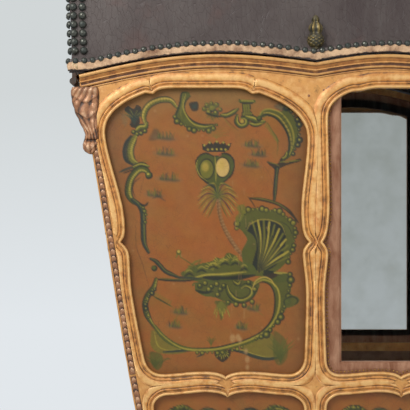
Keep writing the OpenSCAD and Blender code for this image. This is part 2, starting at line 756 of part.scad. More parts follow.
module roof_shell() {
    outer = skin(0);
    inner = skin(shell_t);
    n = len(outer[0]);
    m = len(outer);
    apex = [shell_mid, 0, shoulder_z + dome_rise];
    apex_in = [shell_mid, 0, shoulder_z + dome_rise - shell_t];
    points = concat([for (r = outer, p = r) p], [for (r = inner, p = r) p], [apex, apex_in]);
    function at(skin_i, k, i) = skin_i * n * m + k * n + i % n;
    top = 2 * n * m;
    color("dimgray") polyhedron(points, concat(
        [for (k = [0 : m - 2], i = [0 : n - 1]) [at(0, k, i), at(0, k + 1, i), at(0, k + 1, i + 1), at(0, k, i + 1)]],
        [for (k = [0 : m - 2], i = [0 : n - 1]) [at(1, k, i), at(1, k, i + 1), at(1, k + 1, i + 1), at(1, k + 1, i)]],
        [for (i = [0 : n - 1]) [at(0, m - 1, i), top, at(0, m - 1, i + 1)]],
        [for (i = [0 : n - 1]) [at(1, m - 1, i), at(1, m - 1, i + 1), top + 1]],
        [for (i = [0 : n - 1]) [at(0, 0, i), at(0, 0, i + 1), at(1, 0, i + 1), at(1, 0, i)]]));
}

finial_y = shell_y + ledge_w * 0.72;
module roof_finials() {
    h = finial_h;
    color("darkgoldenrod") for (side = [-1, 1])
        translate([stile_x, side * finial_y, crest_stile_top]) rotate_extrude() polygon([
            [0, 0], [h * 0.12, 0], [h * 0.12, h * 0.08], [h * 0.06, h * 0.14], [h * 0.1, h * 0.22],
            [h * 0.19, h * 0.34], [h * 0.23, h * 0.46], [h * 0.22, h * 0.56], [h * 0.15, h * 0.66],
            [h * 0.1, h * 0.7], [h * 0.13, h * 0.78], [h * 0.14, h * 0.85], [h * 0.09, h * 0.94], [0, h]]);
}
crest_stile_top = crest(stile_x) + roof_gap + rim_h + 1.5;

roof_axis_x = x_rear - 8;
roof_axis_z = crest_z + 2;
knuckle_r = roof_pin_r + 4;
knuckle_w = 30;

module roof_hinge_knuckles() {
    color("gold") for (side = [-1, 1]) translate([0, side * roof_hinge_y - knuckle_w / 2, 0]) difference() {
        union() {
            translate([roof_axis_x, 0, roof_axis_z]) rotate([-90, 0, 0]) cylinder(r = knuckle_r, h = knuckle_w);
            upright(0, knuckle_w) polygon([[roof_axis_x, roof_axis_z - knuckle_r], [roof_axis_x, roof_axis_z - 2],
                [back_edge(roof_axis_z - 2) , roof_axis_z - 2],
                [back_edge(roof_axis_z - 40), roof_axis_z - 40]]);
        }
        translate([roof_axis_x, -1, roof_axis_z]) rotate([-90, 0, 0]) cylinder(r = roof_pin_r + run_fit, h = knuckle_w + 2);
    }
}

module roof_hinge_leaves() {
    arm = 14;
    clear = 0.5;
    rim_low = cross_crest(roof_hinge_y) + roof_gap;
    color("gold") for (side = [-1, 1]) translate([0, side * roof_hinge_y, 0]) {
        translate([roof_axis_x, -knuckle_w / 2 - arm, roof_axis_z]) rotate([-90, 0, 0])
            cylinder(r = roof_pin_r, h = knuckle_w + 2 * arm);
        for (y = [-knuckle_w / 2 - clear - arm, knuckle_w / 2 + clear]) {
            translate([roof_axis_x, y, roof_axis_z]) rotate([-90, 0, 0]) cylinder(r = knuckle_r, h = arm);
            translate([roof_axis_x - 2, y, roof_axis_z]) cube([10, arm, rim_low - roof_axis_z + rim_h * 0.4]);
        }
    }
}

// ---- the poles ----

bore_r = pole_r + ring_gap;
ring_r = bore_r + ring_wall;
pole_y = half_w + ring_out + ring_r;
rear_ring_x = back_edge(pole_z) + post_w * 0.55;
front_ring_x = front_x - post_w * 0.55;

module pole_brackets() {
    color("gold") for (x = [rear_ring_x, front_ring_x], side = [0, 1]) mirror([0, side, 0]) difference() {
        union() {
            translate([x - ring_w / 2, -pole_y, pole_z]) rotate([0, 90, 0]) cylinder(r = ring_r, h = ring_w);
            translate([x - ring_w / 2, -pole_y, pole_z - 12]) cube([ring_w, pole_y - half_w, 24]);
            translate([x - ring_w / 2, -half_w - ring_out, pole_z - ring_plate_h / 2])
                cube([ring_w, ring_out, ring_plate_h]);
        }
        translate([x - ring_w, -pole_y, pole_z]) rotate([0, 90, 0]) cylinder(r = bore_r, h = 2 * ring_w);
    }
}

module pole() {
    color("saddlebrown") translate([-pole_len / 2, -pole_y, pole_z]) rotate([0, 90, 0]) {
        cylinder(r = grip_r, h = grip_len);
        translate([0, 0, grip_len]) cylinder(r1 = grip_r, r2 = pole_r, h = 30);
        translate([0, 0, grip_len + 30]) cylinder(r = pole_r, h = pole_len - 2 * grip_len - 60);
        translate([0, 0, pole_len - grip_len - 30]) cylinder(r1 = pole_r, r2 = grip_r, h = 30);
        translate([0, 0, pole_len - grip_len]) cylinder(r = grip_r, h = grip_len);
    }
}

module left() {
    mirror([0, 1, 0]) children();
}

floor_board();
feet();
side_sills();
back_sill();
front_sill();
rear_post();  // right_rear_post
stile();  // right_stile
front_post();  // right_front_post
waist_rails();  // right_waist_rails
top_rail();  // right_top_rail
upper_panel();  // right_upper_panel
rear_lower_panel();  // right_rear_lower_panel
front_lower_panel();  // right_front_lower_panel
sash();  // right_sash
window_glass();  // right_window_glass
left() rear_post();  // left_rear_post
left() stile();  // left_stile
left() front_post();  // left_front_post
left() waist_rails();  // left_waist_rails
left() top_rail();  // left_top_rail
left() upper_panel();  // left_upper_panel
left() rear_lower_panel();  // left_rear_lower_panel
left() front_lower_panel();  // left_front_lower_panel
left() sash();  // left_sash
left() window_glass();  // left_window_glass
back_upper_frame();
back_upper_panel();
back_lower_frame();
back_lower_panel();
front_surround();
seat_box();
seat_cushion();
back_cushion();
corner_carvings();
pole_brackets();
roof_hinge_knuckles();
door_hinge_pins();
roof_rim();
roof_shell();
roof_finials();
roof_hinge_leaves();
door_frame();
door_panel();
door_glass();
door_knob();
door_hinge_eyes();
pole();  // right_pole
left() pole();  // left_pole
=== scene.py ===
"""Looks of the sedan chair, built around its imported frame.

Lengths in the outline functions are millimetres, as in the frame's own drawing; meshes are
metres. +X is forward, +Y the passenger's left, +Z up.
"""

import logging
import math
from dataclasses import dataclass, field
from enum import Enum

import bmesh
import bpy
import numpy as np
from numpy.typing import NDArray
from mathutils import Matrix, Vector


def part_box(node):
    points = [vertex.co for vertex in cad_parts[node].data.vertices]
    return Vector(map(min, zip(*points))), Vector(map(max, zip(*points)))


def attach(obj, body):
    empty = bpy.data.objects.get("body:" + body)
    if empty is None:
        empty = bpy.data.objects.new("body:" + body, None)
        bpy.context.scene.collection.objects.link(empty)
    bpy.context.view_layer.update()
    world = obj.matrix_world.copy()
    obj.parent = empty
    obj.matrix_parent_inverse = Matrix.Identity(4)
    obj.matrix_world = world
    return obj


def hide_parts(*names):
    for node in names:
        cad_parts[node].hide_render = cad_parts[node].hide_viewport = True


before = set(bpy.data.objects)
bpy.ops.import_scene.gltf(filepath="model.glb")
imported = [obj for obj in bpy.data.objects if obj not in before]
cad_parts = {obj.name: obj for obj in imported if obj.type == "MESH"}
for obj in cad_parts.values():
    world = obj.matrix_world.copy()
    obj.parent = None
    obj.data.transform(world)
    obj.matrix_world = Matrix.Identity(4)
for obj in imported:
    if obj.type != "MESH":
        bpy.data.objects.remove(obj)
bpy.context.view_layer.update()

LOG = logging.getLogger("sedan_chair")
MM = 0.001
Array = NDArray[np.float64]
RGB = tuple[float, float, float]


# ---------------------------------------------------------------- the cabin's lines

@dataclass(frozen=True)
class CabinLines:
    """The lines that every trim piece follows, in millimetres, as the frame's drawing has them."""

    half_w: float = 350.0
    in_y: float = 322.0
    face_t: float = 12.0
    front_x: float = 455.0
    back_x: float = -360.0
    waist_z: float = 782.0
    crest_z: float = 1457.0
    arch_rise: float = 31.0
    cross_rise: float = 42.0
    stile_rise: float = 27.0
    sill_top: float = 170.0
    back_lean: float = 0.163
    lower_lean: float = 0.2
    stile_x: float = 60.0
    post_w: float = 40.0
    stile_half: float = 24.0
    waist_h: float = 38.0
    top_rail_h: float = 28.0
    cusp_d: float = 11.0
    lobe_d: float = 4.0
    back_stile_w: float = 28.0
    door_half: float = 287.0
    door_foot: float = 109.0
    door_stile_w: float = 58.0
    header_h: float = 76.0
    door_gap: float = 5.0
    roof_gap: float = 5.0
    rim_h: float = 24.0
    rim_y: float = 362.0
    roof_over_x: float = 24.0
    ledge_w: float = 30.0

    def back_edge(self, z: float) -> float:
        """Place of the cabin's back edge at a height: two straight leans that meet at the waist."""
        if z > self.waist_z:
            return self.back_x - self.back_lean * (z - self.waist_z)
        return self.back_x + self.lower_lean * (self.waist_z - z)

    @property
    def back_top(self) -> float:
        """Place of the back edge at the crest."""
        return self.back_edge(self.crest_z)

    def crest(self, x: Array) -> Array:
        """Crest of a side frame: two sine arches that meet in a dip over the stile."""
        x = np.asarray(x, float)
        rear = np.clip((x - self.back_top) / (self.stile_x - self.back_top), 0, 1)
        fore = np.clip((self.front_x - x) / (self.front_x - self.stile_x), 0, 1)
        u = np.where(x < self.stile_x, rear, fore)
        return self.crest_z + self.stile_rise * u + self.arch_rise * np.sin(np.pi * u)

    def cross_crest(self, y: Array) -> Array:
        """Crest of the back and the front: a cosine arch across the cabin."""
        return self.crest_z + self.cross_rise * np.cos(np.minimum(1, np.abs(y) / self.half_w) * np.pi / 2)


LINES = CabinLines()


def bezier(a: Array, b: Array, c: Array, d: Array, n: int) -> Array:
    """Cubic Bezier stretch from a to d, without its last point."""
    t = np.arange(n)[:, None] / n
    s = 1 - t
    return s**3 * a + 3 * s * s * t * b + 3 * s * t * t * c + t**3 * d


@dataclass(frozen=True)
class Sight:
    """A scalloped opening: two sides, a head and a foot, with pointed cusps."""

    left: tuple[float, float, float, float]
    right: tuple[float, float, float, float]
    head: float
    foot: float
    cusp_z: float
    cusp: float
    dip: float
    drop: float
    foot_r: float
    head_r: float
    flare: float

    @staticmethod
    def _edge(line: tuple[float, float, float, float], z: float) -> float:
        """Place of a straight side, given by two points, at a height."""
        x0, z0, x1, z1 = line
        return x0 + (x1 - x0) * (z - z0) / (z1 - z0)

    def _flank(self, line: tuple[float, float, float, float], way: int, foot_mid: float,
               head_mid: float) -> Array:
        """Half of the outline, from the foot's middle up one side to the head's middle.

        The side swells beside its cusp and widens under its upper corner.
        """
        lobe = LINES.lobe_d
        head, z0, zc, r0, r1 = self.head, self.foot, self.cusp_z, self.foot_r, self.head_r

        def side(z: float, out: float) -> Array:
            return np.array([self._edge(line, z) + way * out, z])

        def shift(p: Array, dx: float, dz: float) -> Array:
            return p + np.array([way * dx, dz])

        run = abs(self._edge(line, z0) - foot_mid)
        head_run = abs(self._edge(line, head) - head_mid)
        start = np.array([foot_mid, z0 - self.dip])
        hump = np.array([foot_mid + way * run * 0.26, z0 + 3])
        turn = np.array([self._edge(line, z0) - way * r0, z0 - 3])
        end = side(z0 + r0, 0)
        low = z0 + r0 + 0.55 * (zc - z0 - r0)
        high = zc + 0.3 * (head - r1 - zc)
        neck = side(head - r1, self.flare)
        neck_turn = np.array([self._edge(line, head) - way * r1 * 0.92, head - r1 * 0.1])
        head_hump = np.array([head_mid + way * head_run * 0.3, head + (3 if self.drop else 0)])
        crown = np.array([head_mid, head - self.drop])
        reach = 3 if self.drop else head_run * 0.15
        return np.vstack([
            bezier(start, shift(start, 3, self.dip * 0.8), shift(hump, -run * 0.12, 0), hump, 8),
            bezier(hump, shift(hump, run * 0.25, 0), shift(turn, -run * 0.25, 0), turn, 8),
            bezier(turn, shift(turn, r0 * 0.55, 1), side(z0 + r0 * 0.5, 0), end, 9),
            bezier(end, side(z0 + r0 * 1.6, 1), side(low - 40, 4), side(low, 4), 8),
            bezier(side(low, 4), side(low + 40, 4), side(zc - 44, -lobe), side(zc - 24, -lobe), 8),
            bezier(side(zc - 24, -lobe), side(zc - 14, -lobe), side(zc - 7, self.cusp * 0.4), side(zc,
                self.cusp), 8),
            bezier(side(zc, self.cusp), side(zc + 8, -self.cusp * 0.2), side(high - 44, -lobe - 2),
                   side(high, -lobe - 3), 11),
            bezier(side(high, -lobe - 3), side(high + 44, -lobe - 3), side(head - r1 * 1.5, self.flare),
                   neck, 9),
            bezier(neck, side(head - r1 * 0.5, self.flare), shift(neck_turn, r1 * 0.4, -r1 * 0.14),
                   neck_turn, 12),
            bezier(neck_turn, shift(neck_turn, -r1 * 0.3, -r1 * 0.08), shift(head_hump, r1 * 0.5, 0),
                   head_hump, 8),
            bezier(head_hump, shift(head_hump, -head_run * 0.15, 0), shift(crown, reach, self.drop * 0.8),
                   crown, 7),
            crown[None],
        ])

    def outline(self) -> Array:
        """The whole closed outline, counterclockwise, as an (n, 2) array."""
        mids = [(self._edge(self.left, z) + self._edge(self.right, z)) / 2 for z in (self.foot, self.head)]
        right = self._flank(self.right, 1, *mids)
        left = self._flank(self.left, -1, *mids)
        return np.vstack([right, left[1:-1][::-1]])


def leaning(out: float, low: bool) -> tuple[float, float, float, float]:
    """A side line parallel to the cabin's back edge, above or below the waist."""
    z0, z1 = (LINES.sill_top, LINES.waist_z) if low else (LINES.waist_z + 0.1, LINES.crest_z)
    return (LINES.back_edge(z0) + out, z0, LINES.back_edge(z1) + out, z1)


def plumb(x: float) -> tuple[float, float, float, float]:
    """An upright side line."""
    return (x, 0.0, x, 1.0)


class Bay(Enum):
    """The openings of the frames, each with its plane."""

    REAR_UPPER = "rear_upper"
    WINDOW = "window"
    REAR_LOWER = "rear_lower"
    FRONT_LOWER = "front_lower"
    BACK_UPPER = "back_upper"
    BACK_LOWER = "back_lower"
    DOOR_WINDOW = "door_window"
    DOOR_PANEL = "door_panel"


def sights() -> dict[Bay, Sight]:
    """Every opening's outline, worked out from the cabin's lines."""
    c = LINES
    rise = c.crest_z - c.waist_z
    cusp_z = c.waist_z + 0.444 * rise
    low_foot, low_head = c.sill_top + 14, c.waist_z - c.waist_h - 2
    low_cusp = low_foot + 0.55 * (low_head - low_foot)
    stile_b, stile_f = plumb(c.stile_x - c.stile_half), plumb(c.stile_x + c.stile_half)
    front = plumb(c.front_x - c.post_w + 6)
    back_rise = rise * math.hypot(1, c.back_lean)
    back_drop = (c.waist_z - c.sill_top) * math.hypot(1, c.lower_lean)
    bw = c.in_y - c.back_stile_w
    dw = c.door_half - c.door_stile_w + 18
    door_head = c.crest_z + c.cross_rise - c.header_h - c.door_gap - 46
    d = c.cusp_d
    return {
        Bay.REAR_UPPER: Sight(leaning(c.post_w, False), stile_b, c.crest_z - c.top_rail_h, c.waist_z + 4,
                              cusp_z, d,
                              9, 0, 30, 112, 7),
        Bay.WINDOW: Sight(stile_f, front, c.crest_z - c.top_rail_h, c.waist_z + 4, cusp_z, d - 2, 9, 0, 24,
                          66, -3),
        Bay.REAR_LOWER: Sight(leaning(c.post_w, True), stile_b, low_head, low_foot, low_cusp, d, 8, 9, 30,
                              36, 0),
        Bay.FRONT_LOWER: Sight(stile_f, front, low_head, low_foot, low_cusp, d, 8, 9, 24, 30, 0),
        Bay.BACK_UPPER: Sight(plumb(-bw), plumb(bw), back_rise - c.top_rail_h + 8, 26, back_rise * 0.444,
                              d - 2, 9, 0,
                              36, 100, 4),
        Bay.BACK_LOWER: Sight(plumb(-bw), plumb(bw), -28, 16 - back_drop, -back_drop * 0.45, d - 2, 8, 9,
                              30, 34, 0),
        Bay.DOOR_WINDOW: Sight(plumb(-dw), plumb(dw), door_head, c.waist_z + 14, cusp_z, d - 2, 9, 0, 30,
                               100, 4),
        Bay.DOOR_PANEL: Sight(plumb(-dw), plumb(dw), c.waist_z - 34, c.door_foot + 58, low_cusp, d - 2, 8,
                              9, 30, 34,
                              0),
    }


@dataclass(frozen=True)
class Plane:
    """A flat face of the cabin: drawing (a, b) and height h off the face to chair millimetres."""

    origin: tuple[float, float, float]
    across: tuple[float, float, float]
    up: tuple[float, float, float]
    out: tuple[float, float, float]

    def place(self, a: Array, b: Array, h: Array) -> Array:
        """origin + a * across + b * up + h * out, in metres."""
        parts = [np.asarray(v, float)[..., None] * np.array(w) for v, w in
                 ((a, self.across), (b, self.up), (h, self.out))]
        return (np.array(self.origin) + parts[0] + parts[1] + parts[2]) * MM

    @property
    def turns_right(self) -> bool:
        """True if across, up and out form a right-handed set."""
        return float(np.dot(np.cross(self.across, self.up), self.out)) > 0


def planes() -> dict[str, Plane]:
    """The cabin's carved faces."""
    c = LINES
    up_len, low_len = math.hypot(1, c.back_lean), math.hypot(1, c.lower_lean)
    sin_u, cos_u = c.back_lean / up_len, 1 / up_len
    sin_l, cos_l = c.lower_lean / low_len, 1 / low_len
    return {
        "right": Plane((0, -c.half_w, 0), (1, 0, 0), (0, 0, 1), (0, -1, 0)),
        "left": Plane((0, c.half_w, 0), (1, 0, 0), (0, 0, 1), (0, 1, 0)),
        "back_up": Plane((c.back_x, 0, c.waist_z), (0, 1, 0), (-sin_u, 0, cos_u), (-cos_u, 0, -sin_u)),
        "back_low": Plane((c.back_x, 0, c.waist_z), (0, 1, 0), (-sin_l, 0, cos_l), (-cos_l, 0, -sin_l)),
        "door": Plane((c.front_x - 1, 0, 0), (0, 1, 0), (0, 0, 1), (1, 0, 0)),
        "front": Plane((c.front_x, 0, 0), (0, 1, 0), (0, 0, 1), (1, 0, 0)),
    }


PLANES = planes()
SIGHTS = sights()


# ---------------------------------------------------------------- meshes

def add_mesh(name: str, verts: Array, faces: Array, body: str, masks: dict[str, Array] | None = None,
             colours: Array | None = None, smooth: bool = True) -> bpy.types.Object:
    """Puts a mesh in the scene at the origin and lets it ride on a body.

    Args:
        name: the piece's name.
        verts: (n, 3) places in metres.
        faces: (m, 4) or (m, 3) vertex numbers.
        body: the CAD body that carries it.
        masks: named float attributes, one value a vertex.
        colours: (n, 3) linear colours for the attribute "paint".
        smooth: shade it smooth.

    Returns:
        The new object.
    """
    mesh = bpy.data.meshes.new(name)
    faces = np.asarray(faces, np.int32)
    k = faces.shape[1]
    mesh.vertices.add(len(verts))
    mesh.vertices.foreach_set("co", np.asarray(verts, np.float32).ravel())
    mesh.loops.add(faces.size)
    mesh.loops.foreach_set("vertex_index", faces.ravel())
    mesh.polygons.add(len(faces))
    mesh.polygons.foreach_set("loop_start", np.arange(len(faces), dtype=np.int32) * k)
    mesh.update(calc_edges=True)
    mesh.validate()
    for key, values in (masks or {}).items():
        layer = mesh.attributes.new(key, "FLOAT", "POINT")
        layer.data.foreach_set("value", np.asarray(values, np.float32).ravel())
    if colours is not None:
        layer = mesh.attributes.new("paint", "FLOAT_COLOR", "POINT")
        rgba = np.concatenate([colours, np.ones((len(colours), 1))], 1)
        layer.data.foreach_set("color", rgba.astype(np.float32).ravel())
    mesh.polygons.foreach_set("use_smooth", np.full(len(faces), smooth))
    obj = bpy.data.objects.new(name, mesh)
    bpy.context.scene.collection.objects.link(obj)
    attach(obj, body)
    LOG.info("%s: %d faces on %s", name, len(faces), body)
    return obj


def grid_faces(n: int, m: int, wrap_n: bool = False, wrap_m: bool = False, flip: bool = False) -> Array:
    """Quads of an n by m grid of points, optionally closed either way."""
    i = np.arange(n if wrap_n else n - 1)[:, None]
    j = np.arange(m if wrap_m else m - 1)[None, :]
    a, b = i * m + j, ((i + 1) % n) * m + j
    c, d = ((i + 1) % n) * m + (j + 1) % m, i * m + (j + 1) % m
    quads = np.stack([a, b, c, d], -1).reshape(-1, 4)
    return quads[:, ::-1] if flip else quads


def merged(parts: list[tuple[Array, Array]]) -> tuple[Array, Array]:
    """Joins (vertices, faces) pairs into one pair."""
    verts, faces, base = [], [], 0
    for v, f in parts:
        verts.append(v)
        faces.append(f + base)
        base += len(v)
    return np.vstack(verts), np.vstack(faces)


def outward(outline: Array, closed: bool = True) -> Array:
    """Unit normals of a polyline, to the right of its run, limited at sharp cusps."""
    if closed:
        run = np.roll(outline, -1, 0) - np.roll(outline, 1, 0)
    else:
        run = np.gradient(outline, axis=0)
    run /= np.maximum(np.linalg.norm(run, axis=1, keepdims=True), 1e-9)
    return np.stack([run[:, 1], -run[:, 0]], 1)


def spread(path: Array, step: float, closed: bool = False) -> Array:
    """A path's points set out again at even steps along its length."""
    pts = np.vstack([path, path[:1]]) if closed else path
    lengths = np.r_[0, np.cumsum(np.linalg.norm(np.diff(pts, axis=0), axis=1))]
    n = max(2, int(round(lengths[-1] / step)))
    s = np.linspace(0, lengths[-1], n + 1)
    out = np.stack([np.interp(s, lengths, pts[:, k]) for k in range(pts.shape[1])], 1)
    return out[:-1] if closed else out


def smooth_noise(points: Array, scale: float, seed: int) -> Array:
    """Soft noise from -1 to 1: a sum of sines with seeded directions and phases over points."""
    rng = np.random.default_rng(seed)
    total = np.zeros(len(points))
    for octave in range(3):
        for _ in range(4):
            way = rng.normal(size=points.shape[1])
            way /= np.linalg.norm(way)
            total += np.sin(points @ way * (2.0**octave) * 2 * np.pi / scale + rng.uniform(0,
                                                                                           6.3)) / 2**octave
    return total / 4.5


# ---------------------------------------------------------------- finishes

def srgb(r: float, g: float, b: float) -> RGB:
    """A display colour of 0-255 parts as linear light."""
    return tuple(v / 12.92 if v <= 0.04045 else ((v + 0.055) / 1.055) ** 2.4 for v in (r / 255, g / 255,
                                                                                       b / 255))


class Graph:
    """Places and links the nodes of one material or group."""

    def __init__(self, tree: bpy.types.NodeTree) -> None:
        """Args: tree: the node tree to fill."""
        self.tree = tree

    def node(self, kind: str, inputs: dict[str | int,
                                           object] | None = None, **props: object) -> bpy.types.Node:
        """Adds a node, sets its properties, and sets or links its inputs."""
        node = self.tree.nodes.new(kind)
        for key, value in props.items():
            setattr(node, key, value)
        for key, value in (inputs or {}).items():
            self.feed(node.inputs[key], value)
        return node

    def feed(self, socket: bpy.types.NodeSocket, value: object) -> None:
        """Links a socket's output to an input, or sets the input to a value."""
        if isinstance(value, bpy.types.NodeSocket):
            self.tree.links.new(value, socket)
        elif isinstance(value, tuple) and len(value) == 3 and socket.type == "RGBA":
            socket.default_value = (*value, 1.0)
        else:
            socket.default_value = value

    def math(self, op: str, a: object, b: object = 0.0, clamp: bool = False) -> bpy.types.NodeSocket:
        """One Math node."""
        return self.node("ShaderNodeMath", {0: a, 1: b}, operation=op, use_clamp=clamp).outputs[0]

    def mix(self, factor: object, a: object, b: object, blend: str = "MIX") -> bpy.types.NodeSocket:
        """A colour mix from a to b."""
        node = self.node("ShaderNodeMix", data_type="RGBA", blend_type=blend, clamp_factor=True)
        for key, value in ((0, factor), (6, a), (7, b)):
            self.feed(node.inputs[key], value)
        return node.outputs[2]

    def span(self, value: object, low: float, high: float, out_low: float = 0,
             out_high: float = 1) -> bpy.types.NodeSocket:
        """Remaps low..high to out_low..out_high, held at the ends."""
        return self.node("ShaderNodeMapRange", {0: value, 1: low, 2: high, 3: out_low,
                                                4: out_high}).outputs[0]

    def noise(self, where: object, scale: float, detail: float = 4, rough: float = 0.55,
              warp: float = 0) -> bpy.types.NodeSocket:
        """Noise of a scale in repeats a metre."""
        return self.node("ShaderNodeTexNoise", {"Vector": where, "Scale": scale, "Detail": detail,
                                                "Roughness": rough,
                                                "Distortion": warp}).outputs["Fac"]

    def cells(self, where: object, scale: float, edge: bool = True) -> bpy.types.NodeSocket:
        """Distance to the edges of a cell pattern, or to its centres."""
        kind = "DISTANCE_TO_EDGE" if edge else "F1"
        return self.node("ShaderNodeTexVoronoi", {"Vector": where, "Scale": scale},
                         feature=kind).outputs["Distance"]

    def place(self) -> bpy.types.NodeSocket:
        """Object coordinates."""
        return self.node("ShaderNodeTexCoord").outputs["Object"]

    def stretched(self, where: object, scale: tuple[float, float, float]) -> bpy.types.NodeSocket:
        """Coordinates stretched by a factor along each axis."""
        return self.node("ShaderNodeMapping", {"Vector": where, "Scale": scale}).outputs[0]

    def attribute(self, name: str, output: str = "Fac") -> bpy.types.NodeSocket:
        """A mesh attribute."""
        return self.node("ShaderNodeAttribute", attribute_name=name).outputs[output]

    def group(self, name: str, inputs: dict[str, object] | None = None) -> bpy.types.Node:
        """A shared effect, with its inputs."""
        node = self.node("ShaderNodeGroup", node_tree=bpy.data.node_groups[name])
        for key, value in (inputs or {}).items():
            self.feed(node.inputs[key], value)
        return node


class Effects:
    """The node groups that several finishes share."""

    @staticmethod
    def _start(name: str, inputs: dict[str, float], outputs: tuple[str, ...]) -> tuple[Graph, Graph]:
        """Makes a group with float sockets and returns its graph and its two end nodes."""
        tree = bpy.data.node_groups.new(name, "ShaderNodeTree")
        for key, value in inputs.items():
            socket = tree.interface.new_socket(key, in_out="INPUT", socket_type="NodeSocketFloat")
            socket.default_value = value
        for key in outputs:
            tree.interface.new_socket(key, in_out="OUTPUT", socket_type="NodeSocketFloat")
        graph = Graph(tree)
        return graph, graph.node("NodeGroupInput"), graph.node("NodeGroupOutput")

    def build(self) -> None:
        """Makes every shared effect."""
        self.wear_and_painted_light()
        self.wood_grain()
        self.dust()
        self.crazing()
        self.weave()

    def wear_and_painted_light(self) -> None:
        """Ridges lightened by rubbing and painted highlight, hollows darkened by dirt and painted shade, from a
        raise value of 0 to 1, broken up by noise.
        """
        g, i, o = self._start("wear_and_painted_light", {"Raise": 0.5, "Amount": 0.5, "Scale": 60}, ("RubAndHighlight", "DirtAndShade",
                                                                                        "Speck"))
        where = g.place()
        scaled = g.node("ShaderNodeVectorMath", {0: where, "Scale": i.outputs["Scale"]},
                        operation="SCALE").outputs[0]
        patch = g.noise(scaled, 1.0, 5, 0.62)
        high = g.math("ADD", i.outputs["Raise"], g.math("MULTIPLY", g.math("SUBTRACT", patch, 0.5), 1.4))
        # Masks for the ridges' painted highlight and wear, and for the hollows' painted shade and dirt.
        rub_and_highlight = g.math("MULTIPLY", g.span(high, 0.62, 1.0), i.outputs["Amount"], clamp=True)
        dirt_and_shade = g.span(g.math("ADD", high, g.math("MULTIPLY", i.outputs["Amount"], -0.12)), 0.42, 0.06)
        speck = g.span(g.noise(scaled, 4.5, 4, 0.7), 0.61, 0.70)
        for key, value in (("RubAndHighlight", rub_and_highlight), ("DirtAndShade", dirt_and_shade), ("Speck", speck)):
            g.feed(o.inputs[key], value)

    def wood_grain(self) -> None:
        """Long grain along X: stretched noise through itself, with pores."""
        g, i, o = self._start("wood_grain", {"Scale": 1.0}, ("Grain", "Pores"))
        where = g.node("ShaderNodeVectorMath", {0: g.place(), "Scale": i.outputs["Scale"]},
                       operation="SCALE").outputs[0]
        grain = g.noise(g.stretched(where, (2.2, 40, 40)), 1.6, 6, 0.6, 0.6)
        pores = g.span(g.noise(g.stretched(where, (18, 420, 420)), 1.0, 3, 0.7), 0.56, 0.66)
        g.feed(o.inputs["Grain"], grain)
        g.feed(o.inputs["Pores"], pores)

    def dust(self) -> None:
        """Dust that settles where a face looks up, in soft patches."""
        g, i, o = self._start("dust", {"Amount": 0.5}, ("Mask",))
        normal = g.node("ShaderNodeNewGeometry").outputs["Normal"]
        up = g.node("ShaderNodeSeparateXYZ", {0: normal}).outputs[2]
        patch = g.noise(g.place(), 16, 5, 0.62)
        lying = g.math("MULTIPLY", g.span(up, -0.1, 0.9), g.span(patch, 0.3, 0.68))
        g.feed(o.inputs["Mask"], g.math("MULTIPLY", lying, i.outputs["Amount"], clamp=True))

    def crazing(self) -> None:
        """A net of fine cracks in old varnish, with the patches where it shows."""
        g, i, o = self._start("crazing", {"Scale": 90, "Amount": 0.5}, ("Crack",))
        where = g.place()
        bent = g.node("ShaderNodeVectorMath", {0: g.node("ShaderNodeVectorMath", {0: g.node(
            "ShaderNodeTexNoise", {"Vector": where, "Scale": 30.0, "Detail": 3.0}).outputs["Color"],
            1: (0.012, 0.012, 0.012)}, operation="MULTIPLY").outputs[0], 1: where},
                operation="ADD").outputs[0]
        cells = g.node("ShaderNodeTexVoronoi", {"Vector": bent, "Scale": i.outputs["Scale"]},
                       feature="DISTANCE_TO_EDGE").outputs["Distance"]
        patch = g.span(g.noise(where, 9, 3), 0.42, 0.62)
        crack = g.math("MULTIPLY", g.span(cells, 0.035, 0.0), patch)
        g.feed(o.inputs["Crack"], g.math("MULTIPLY", crack, i.outputs["Amount"], clamp=True))

    def weave(self) -> None:
        """Over-and-under threads on UV coordinates given in metres."""
        g, i, o = self._start("weave", {"Threads": 900}, ("Height", "Gap"))
        uv = g.node("ShaderNodeTexCoord").outputs["UV"]
        x, y = (g.math("MULTIPLY", g.math("MULTIPLY", g.node("ShaderNodeSeparateXYZ", {0: uv}).outputs[k],
                                            i.outputs["Threads"]), math.pi) for k in (0, 1))
        warp = g.math("MULTIPLY", g.math("SINE", x), g.math("COSINE", y))
        height = g.math("ABSOLUTE", warp)
        g.feed(o.inputs["Height"], height)
        g.feed(o.inputs["Gap"], g.span(height, 0.35, 0.0))


class Material:
    """Starts a material with its Principled shader; finishes fill it in."""

    def __init__(self, name: str) -> None:
        """Args: name: the material's name."""
        self.mat = bpy.data.materials.new(name)
        self.mat.use_nodes = True
        self.g = Graph(self.mat.node_tree)
        self.shader = self.mat.node_tree.nodes["Principled BSDF"]

    def set(self, **values: object) -> None:
        """Sets or links the shader's inputs; underscores stand for spaces."""
        for key, value in values.items():
            self.g.feed(self.shader.inputs[key.replace("_", " ")], value)

    def bump(self, height: object, strength: float, distance: float) -> None:
        """Feeds a height to the shader's normal."""
        node = self.g.node("ShaderNodeBump", {"Strength": strength, "Distance": distance, "Height": height})
        self.set(Normal=node.outputs[0])


